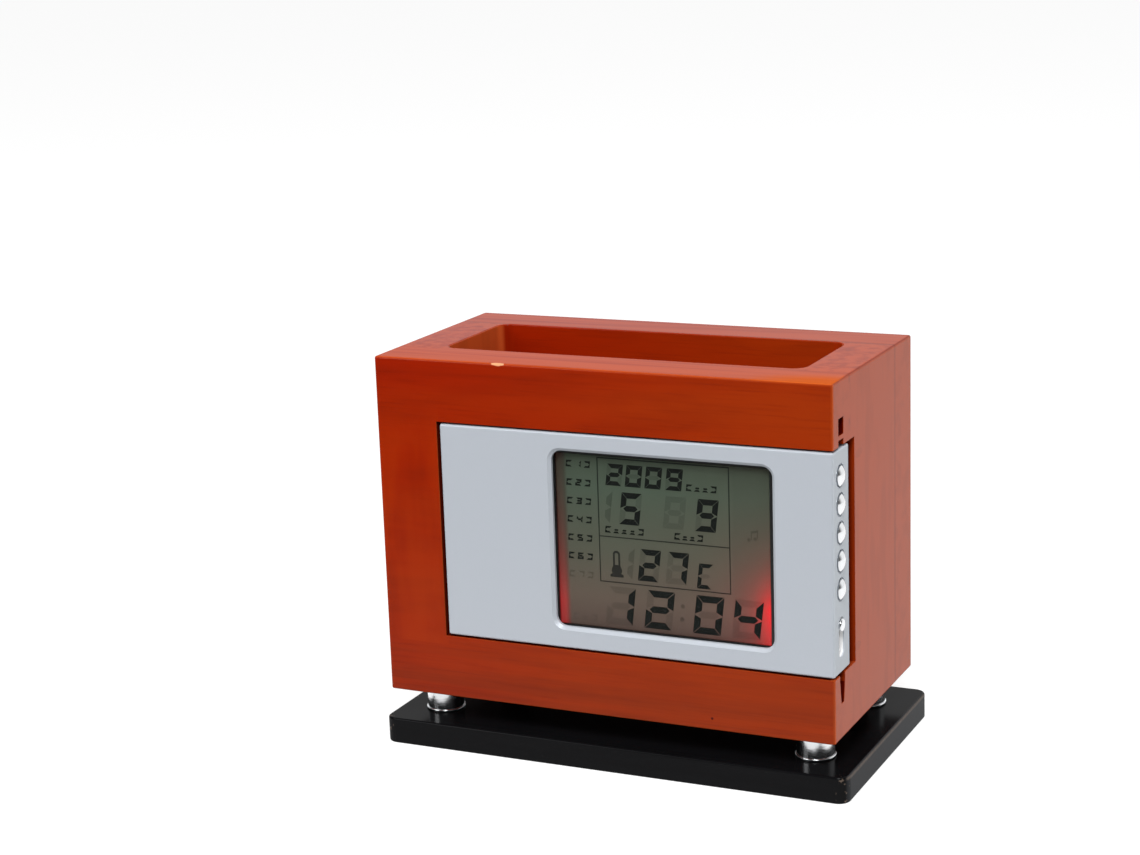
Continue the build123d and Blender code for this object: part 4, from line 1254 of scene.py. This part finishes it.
figures_piece("figures_year", lit_marks(YEAR_ROW, YEAR_DOWN), YEAR_SIZE, lit_finish)
figures_piece("figures_year_unlit", unlit_marks(YEAR_ROW, YEAR_DOWN), YEAR_SIZE, unlit_finish)
dates = lit_marks(DATE_ROW, DATE_DOWN) + lit_marks(DEGREES_ROW, DEGREES_DOWN)
figures_piece("figures_date", dates, DATE_SIZE, lit_finish)
leftover = unlit_marks(DATE_ROW, DATE_DOWN) + unlit_marks(DEGREES_ROW, DEGREES_DOWN)
leftover.append((FIGURES["8"], DATE_TENS_ACROSS, DATE_DOWN))
figures_piece("figures_date_unlit", leftover, DATE_SIZE, unlit_finish)
ones = [(FIGURES["1"], MONTH_TENS_ACROSS, DATE_DOWN), (FIGURES["1"], HUNDREDS_ACROSS, DEGREES_DOWN)]
figures_piece("figures_ones_unlit", ones, DATE_SIZE, faint_finish)
figures_piece("figure_scale", [(FIGURES["["], *SCALE_PLACE)], SCALE_SIZE, lit_finish)
figures_piece("figure_scale_unlit", [("g", *SCALE_PLACE)], SCALE_SIZE, unlit_finish)
hour = lit_marks(TIME_ROW, TIME_DOWN) + [("bc", HOUR_TENS_ACROSS, TIME_DOWN)]
figures_piece("figures_time", hour, TIME_SIZE, lit_finish)
hour_unlit = unlit_marks(TIME_ROW, TIME_DOWN) + [("adeg", HOUR_TENS_ACROSS, TIME_DOWN)]
figures_piece("figures_time_unlit", hour_unlit, TIME_SIZE, unlit_finish)
print("figures:", len(YEAR_ROW) + len(DATE_ROW) + len(DEGREES_ROW) + len(TIME_ROW))

# %% [markdown]
# Small marks go beside the figures, in a plain code of brackets, numbers and double strokes. The
# day marks are numbered from the top. The last of them is faint, and the one at the foot of the
# column is unlit. Each label says its signs, how far across and down its middle is, and how far
# apart the signs stand.

# %% Small marks
SMALL_SIZE = (1.8, 1.9, 0.5, 0.0)
DAY_COUNT = 7
DAY_ACROSS = 7.2
DAY_DOWN = 4.0
DAY_PITCH = 5.32
DAY_SPREAD = 2.75
HALF_DAY_ACROSS = 8.0
HALF_DAY_DOWN = 48.4
LABELS = (("[==]", 44.0, 8.2, 2.35), ("[===]", 20.8, 22.1, 2.45), ("[==]", 40.0, 22.3, 2.2))


def sign_marks(signs, middle_across, down, spread):
    """Signs side by side, centred on a middle."""
    shifts = [(number - (len(signs) - 1) / 2) * spread for number in range(len(signs))]
    return [(FIGURES[sign], middle_across + shift, down) for sign, shift in zip(signs, shifts)]


days = []
for day in range(DAY_COUNT - 1):
    days += sign_marks(f"[{day + 1}]", DAY_ACROSS, DAY_DOWN + DAY_PITCH * day, DAY_SPREAD)
last_down = DAY_DOWN + DAY_PITCH * (DAY_COUNT - 1)
last_day = sign_marks(f"[{DAY_COUNT}]", DAY_ACROSS, last_down, DAY_SPREAD)
half_day = sign_marks("[=]", HALF_DAY_ACROSS, HALF_DAY_DOWN, DAY_SPREAD)
labels = [mark for label in LABELS for mark in sign_marks(*label)]
figures_piece("marks_days", days, SMALL_SIZE, lit_finish)
figures_piece("marks_last_day", last_day, SMALL_SIZE, faint_finish)
figures_piece("marks_half_day", half_day, SMALL_SIZE, unlit_finish)
figures_piece("marks_labels", labels, SMALL_SIZE, lit_finish)
print("day marks:", len(days) + len(last_day), "label marks:", len(labels))

# %% [markdown]
# The other marks have no figures in them: the lines of the frame, a small thermometer, a note and
# the two dots between the hours and the minutes. Each is a flat outline, some with a hole. A 2D
# curve fills outlines and leaves their holes open by itself, so the outlines go into one and it
# becomes a mesh.

# %% Outlines
ROUND_STEPS = 24


def box_outline(left, top, right, bottom):
    """A rectangle's corners."""
    return [(left, top), (right, top), (right, bottom), (left, bottom)]


def arc(across, down, radius, start=0.0, turn=360.0):
    """Points round a middle, in degrees from the right and downwards."""
    count = max(2, round(ROUND_STEPS * abs(turn) / 360))
    steps = range(count if abs(turn) == 360 else count + 1)
    angles = [math.radians(start + turn * step / count) for step in steps]
    return [(across + radius * math.cos(angle), down + radius * math.sin(angle)) for angle in angles]


def outlines_piece(name, outlines, finish):
    """Flat outlines as one piece. An outline inside another is a hole."""
    curve = bpy.data.curves.new(name, "CURVE")
    curve.dimensions = "2D"
    curve.fill_mode = "BOTH"
    curve.extrude = MARK_THICKNESS / 2
    for outline in outlines:
        spline = curve.splines.new("POLY")
        spline.points.add(len(outline) - 1)
        spline.use_cyclic_u = True
        for point, (across, down) in zip(spline.points, outline):
            point.co = (across * MM, -down * MM, 0, 1)
    drawing = bpy.data.objects.new(name + "_drawing", curve)
    bpy.context.scene.collection.objects.link(drawing)
    mesh = baked(drawing)
    bpy.data.objects.remove(drawing)
    mesh.transform(Matrix.Translation((0, 0, MARK_THICKNESS / 2)))
    edit = bmesh.new()
    edit.from_mesh(mesh)
    bmesh.ops.remove_doubles(edit, verts=edit.verts, dist=SEAM)
    bmesh.ops.recalc_face_normals(edit, faces=edit.faces)
    edit.to_mesh(mesh)
    edit.free()
    return put_on_glass(name, mesh, finish)


# %% [markdown]
# The thermometer is a tube that widens into a bulb in two steps. Only one side of the bulb is
# written down, and the other is its mirror image, so the drawing is sure to be even.

# %% Frame lines, thermometer, note and dots
LINE = 0.16
LINE_LEFT = 13.1
LINE_RIGHT = 52.0
LINE_TOP = 1.7
LINE_DIVIDER = 24.2
LINE_BOTTOM = 37.3
THERMOMETER = 18.15
TUBE = 1.1
TUBE_TOP = 29.2
BULB_SIDE = ((TUBE, 32.6), (1.5, 33.3), (1.6, 34.0), (1.3, 34.7), (2.0, 35.1), (2.0, 35.75))
BORE = 0.52
BORE_TOP = 29.3
BORE_BOTTOM = 32.2
HALF_TURN = 180
NOTE_STEMS = (
    (58.15, 18.9), (60.25, 18.4), (60.25, 21.0), (59.95, 21.0),
    (59.95, 19.2), (58.45, 19.55), (58.45, 21.4), (58.15, 21.4),
)
NOTE_HEADS = ((57.6, 21.4), (59.4, 21.0))
NOTE_HEAD_RADIUS = 0.5
DOTS = ((37.8, 42.3), (37.5, 46.1))
DOT_RADIUS = 0.65

lines = [
    box_outline(LINE_LEFT - LINE, LINE_TOP - LINE, LINE_RIGHT + LINE, LINE_BOTTOM + LINE),
    box_outline(LINE_LEFT + LINE, LINE_TOP + LINE, LINE_RIGHT - LINE, LINE_DIVIDER - LINE),
    box_outline(LINE_LEFT + LINE, LINE_DIVIDER + LINE, LINE_RIGHT - LINE, LINE_BOTTOM - LINE),
]
tube_outline = (
    [(THERMOMETER - across, down) for across, down in reversed(BULB_SIDE)]
    + arc(THERMOMETER, TUBE_TOP, TUBE, HALF_TURN, HALF_TURN)
    + [(THERMOMETER + across, down) for across, down in BULB_SIDE]
)
bore_outline = (
    [(THERMOMETER - BORE, BORE_BOTTOM)]
    + arc(THERMOMETER, BORE_TOP, BORE, HALF_TURN, HALF_TURN)
    + [(THERMOMETER + BORE, BORE_BOTTOM)]
)
note = [NOTE_STEMS] + [arc(*place, NOTE_HEAD_RADIUS) for place in NOTE_HEADS]
outlines_piece("lines_frame", lines, dim_finish)
outlines_piece("icon_thermometer", [tube_outline, bore_outline], dim_finish)
outlines_piece("icon_note", note, faint_finish)
outlines_piece("dots_time", [arc(*place, DOT_RADIUS) for place in DOTS], half_lit_finish)
print("thermometer outline points:", len(tube_outline))

# %% [markdown]
# ## Inside the clock
#
# The battery door opens and the clock slides out of the box, so its back and its works are finished
# too. Most of them are moulded plastic, which is never quite even: the tool leaves a faint grain
# and the colour drifts. One function with a colour and a gloss covers them all.

# %% Moulded plastics
MOULD_CYCLES = (2200, 2200, 2200)
TONE_CYCLES = (25, 25, 25)
TONE_DARKER = 0.82


def shaded(colour, share):
    """A darker tone of a colour."""
    return tuple(level * share for level in colour[:3]) + (1,)


def moulded(name, colour, roughness, grain=0.02):
    """Plastic with the fine grain of its mould, in millimetres."""
    def paint(graph):
        point = object_point(graph)
        texture = noise(graph, point, MOULD_CYCLES, 2.0)
        drift = noise(graph, point, TONE_CYCLES, 2.0)
        uneven = 0.5 * drift + 0.35 * texture
        return {
            "Base Color": blend(graph, uneven, colour, shaded(colour, TONE_DARKER)),
            "Metallic": 0.0,
            "Roughness": roughness - 0.06 + 0.12 * texture,
            "Normal": bump(graph, texture, grain * MM),
        }

    return make_finish(name, paint)


give(moulded("cover_plastic", srgb(178, 184, 191), 0.5, 0.03), "clock_rear_cover", "battery_door")
black_plastic = moulded("black_plastic", srgb(36, 36, 38), 0.45)
give(black_plastic, "display_holder", "tact_switches", "slide_switch_body")
give(moulded("guide_plastic", srgb(238, 239, 236), 0.35, 0.01), "light_guide")
give(moulded("lamp_resin", srgb(226, 40, 36), 0.12, 0.0), "backlight_leds")
give(moulded("black_resin", srgb(24, 24, 26), 0.22, 0.01), "controller_blob")
give(moulded("sensor_resin", srgb(44, 46, 52), 0.3, 0.01), "temperature_sensor")
print("a darker tone of a plastic keeps", TONE_DARKER, "of its light")

# %% [markdown]
# The contact strip has fine dark lines, one after another, that carry each bar's signal from the
# board. The board is green laminate, where copper tracks show as lighter lines under the lacquer.
# The beeper is a brass disc with a paler ceramic disc on it. Rings and lines like these are
# functions of a coordinate, so each needs only a line of arithmetic.

# %% Contact strip, board and beeper
STRIP_PITCH = 0.5 * MM
STRIP_RUBBER = srgb(206, 196, 180)
STRIP_CARBON = srgb(40, 40, 42)
LAMINATE = srgb(14, 92, 52)
LAMINATE_WEAVE = srgb(22, 112, 62)
LAMINATE_TRACK = srgb(58, 148, 84)
WEAVE_CYCLES = (3000, 300, 3000)
TRACK_CELLS = 330.0
TRACK_PLACE = 0.62
TRACK_WIDTH = (0.10, 0.05)
BRASS = srgb(206, 172, 96)
BRASS_PALE = srgb(222, 192, 118)
BRASS_CYCLES = (1600, 1600, 1600)
CERAMIC = srgb(214, 210, 198)
CERAMIC_RADIUS = 5.4 * MM
CERAMIC_RIM = 0.2 * MM
buzzer_low, buzzer_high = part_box("buzzer")
buzzer_middle = (buzzer_low + buzzer_high) / 2


def contact_strip(graph):
    """Pale rubber with dark conducting lines across it."""
    point, x, y, z = point_of(graph)
    wave = x.math("SINE", x * (2 * math.pi / STRIP_PITCH))
    return {
        "Base Color": blend(graph, soft_step(graph, wave, 0.1, 0.5), STRIP_RUBBER, STRIP_CARBON),
        "Roughness": 0.7,
    }


def board_laminate(graph):
    """Green laminate with lighter lines where copper runs under the lacquer."""
    point, x, y, z = point_of(graph)
    flat = graph.node("ShaderNodeCombineXYZ", {}, {"X": x, "Y": z})
    cells = graph.node(
        "ShaderNodeTexVoronoi",
        {"voronoi_dimensions": "2D", "distance": "CHEBYCHEV", "feature": "F2"},
        {"Vector": flat, "Scale": TRACK_CELLS, "Randomness": 0.6},
    )
    track = soft_step(graph, abs(cells - TRACK_PLACE), *TRACK_WIDTH)
    green = blend(graph, noise(graph, point, WEAVE_CYCLES, 1.0), LAMINATE, LAMINATE_WEAVE)
    return {
        "Base Color": blend(graph, track, green, LAMINATE_TRACK),
        "Roughness": 0.38,
        "Normal": bump(graph, track, 0.035 * MM),
    }


def beeper(graph):
    """Brass with a ceramic disc at its middle."""
    point, x, y, z = point_of(graph)
    away = ((x - buzzer_middle.x) ** 2 + (z - buzzer_middle.z) ** 2) ** 0.5
    ceramic = soft_step(graph, away, CERAMIC_RADIUS + CERAMIC_RIM, CERAMIC_RADIUS)
    brushed = noise(graph, point, BRASS_CYCLES, 2.0)
    brass = blend(graph, brushed, BRASS, BRASS_PALE)
    return {
        "Base Color": blend(graph, ceramic, brass, CERAMIC),
        "Metallic": 1 - ceramic,
        "Roughness": 0.25 + 0.1 * brushed + 0.2 * ceramic,
        "Normal": bump(graph, ceramic, 0.1 * MM),
    }


give(make_finish("contact_strip", contact_strip), "zebra_connector")
give(make_finish("board_laminate", board_laminate), "circuit_board")
give(make_finish("beeper", beeper), "buzzer")
print("beeper middle in mm:", [round(value / MM, 1) for value in buzzer_middle])

# %% [markdown]
# The small metal parts differ in colour and in the marks of their making. Screws are zinc plated,
# the crystal's can is drawn and lightly brushed, and the battery contacts are bright nickel with
# rub marks. The two cells are wrapped in printed film between bare steel ends. Theirs is a plain
# two-tone wrap.

# %% Small metal parts and the cells
METAL_DARKER = 0.7
RUBBED_CYCLES = (180, 180, 180)
CELL_STEEL = srgb(205, 205, 202)
CELL_BLUE = srgb(40, 62, 104)
CELL_SILVER = srgb(192, 197, 203)
CELL_SCUFF = srgb(150, 154, 160)
SCUFF_CYCLES = (900, 900, 120)
SCUFF_STAIN = (0.62, 0.75, 0.3)
CELL_CAP = (1.5 * MM, 1.4 * MM)
CELL_BAND = (0.68, 0.69)


def small_metal(name, colour, roughness, cycles):
    """Bare or plated metal, brushed along the axis with the fewest cycles."""
    def paint(graph):
        point = object_point(graph)
        brushed = noise(graph, point, cycles, 3.0)
        rubbed = noise(graph, point, RUBBED_CYCLES, 2.0)
        return {
            "Base Color": blend(graph, 0.6 * brushed, colour, shaded(colour, METAL_DARKER)),
            "Metallic": 1.0,
            "Roughness": roughness + 0.15 * brushed + 0.1 * rubbed,
            "Normal": bump(graph, brushed, 0.01 * MM),
        }

    return make_finish(name, paint)


def cell_wrap(name, piece):
    """A dry cell: printed film between its steel ends."""
    low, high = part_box(piece)

    def paint(graph):
        point, x, y, z = point_of(graph)
        end = soft_step(graph, nearer(z - low.z, high.z - z), *CELL_CAP)
        band = soft_step(graph, (z - low.z) / (high.z - low.z), *CELL_BAND)
        scuff = noise(graph, point, SCUFF_CYCLES, 3.0)
        film = blend(graph, band, CELL_BLUE, CELL_SILVER)
        film = blend(graph, stained(graph, scuff, SCUFF_STAIN), film, CELL_SCUFF)
        return {
            "Base Color": blend(graph, end, film, CELL_STEEL),
            "Metallic": 0.25 + 0.75 * end,
            "Roughness": 0.28 + 0.12 * scuff,
        }

    return make_finish(name, paint)


screw_steel = small_metal("screw_steel", srgb(196, 197, 200), 0.25, (900, 900, 900))
contact_metal = small_metal("contact_metal", srgb(214, 212, 206), 0.15, (120, 1400, 1400))
give(screw_steel, "base_screws", "board_screws", "cover_screws")
give(small_metal("crystal_can", srgb(204, 205, 208), 0.2, (1500, 1500, 100)), "quartz_crystal")
give(contact_metal, "contact_positive", "contact_negative", "contact_bridge")
for cell in ("battery_left", "battery_right"):
    give(cell_wrap(cell + "_wrap", cell), cell)
finishes = {slot.material.name for piece in nodes.values() for slot in piece.material_slots}
print("finishes on the model's pieces:", len(finishes))
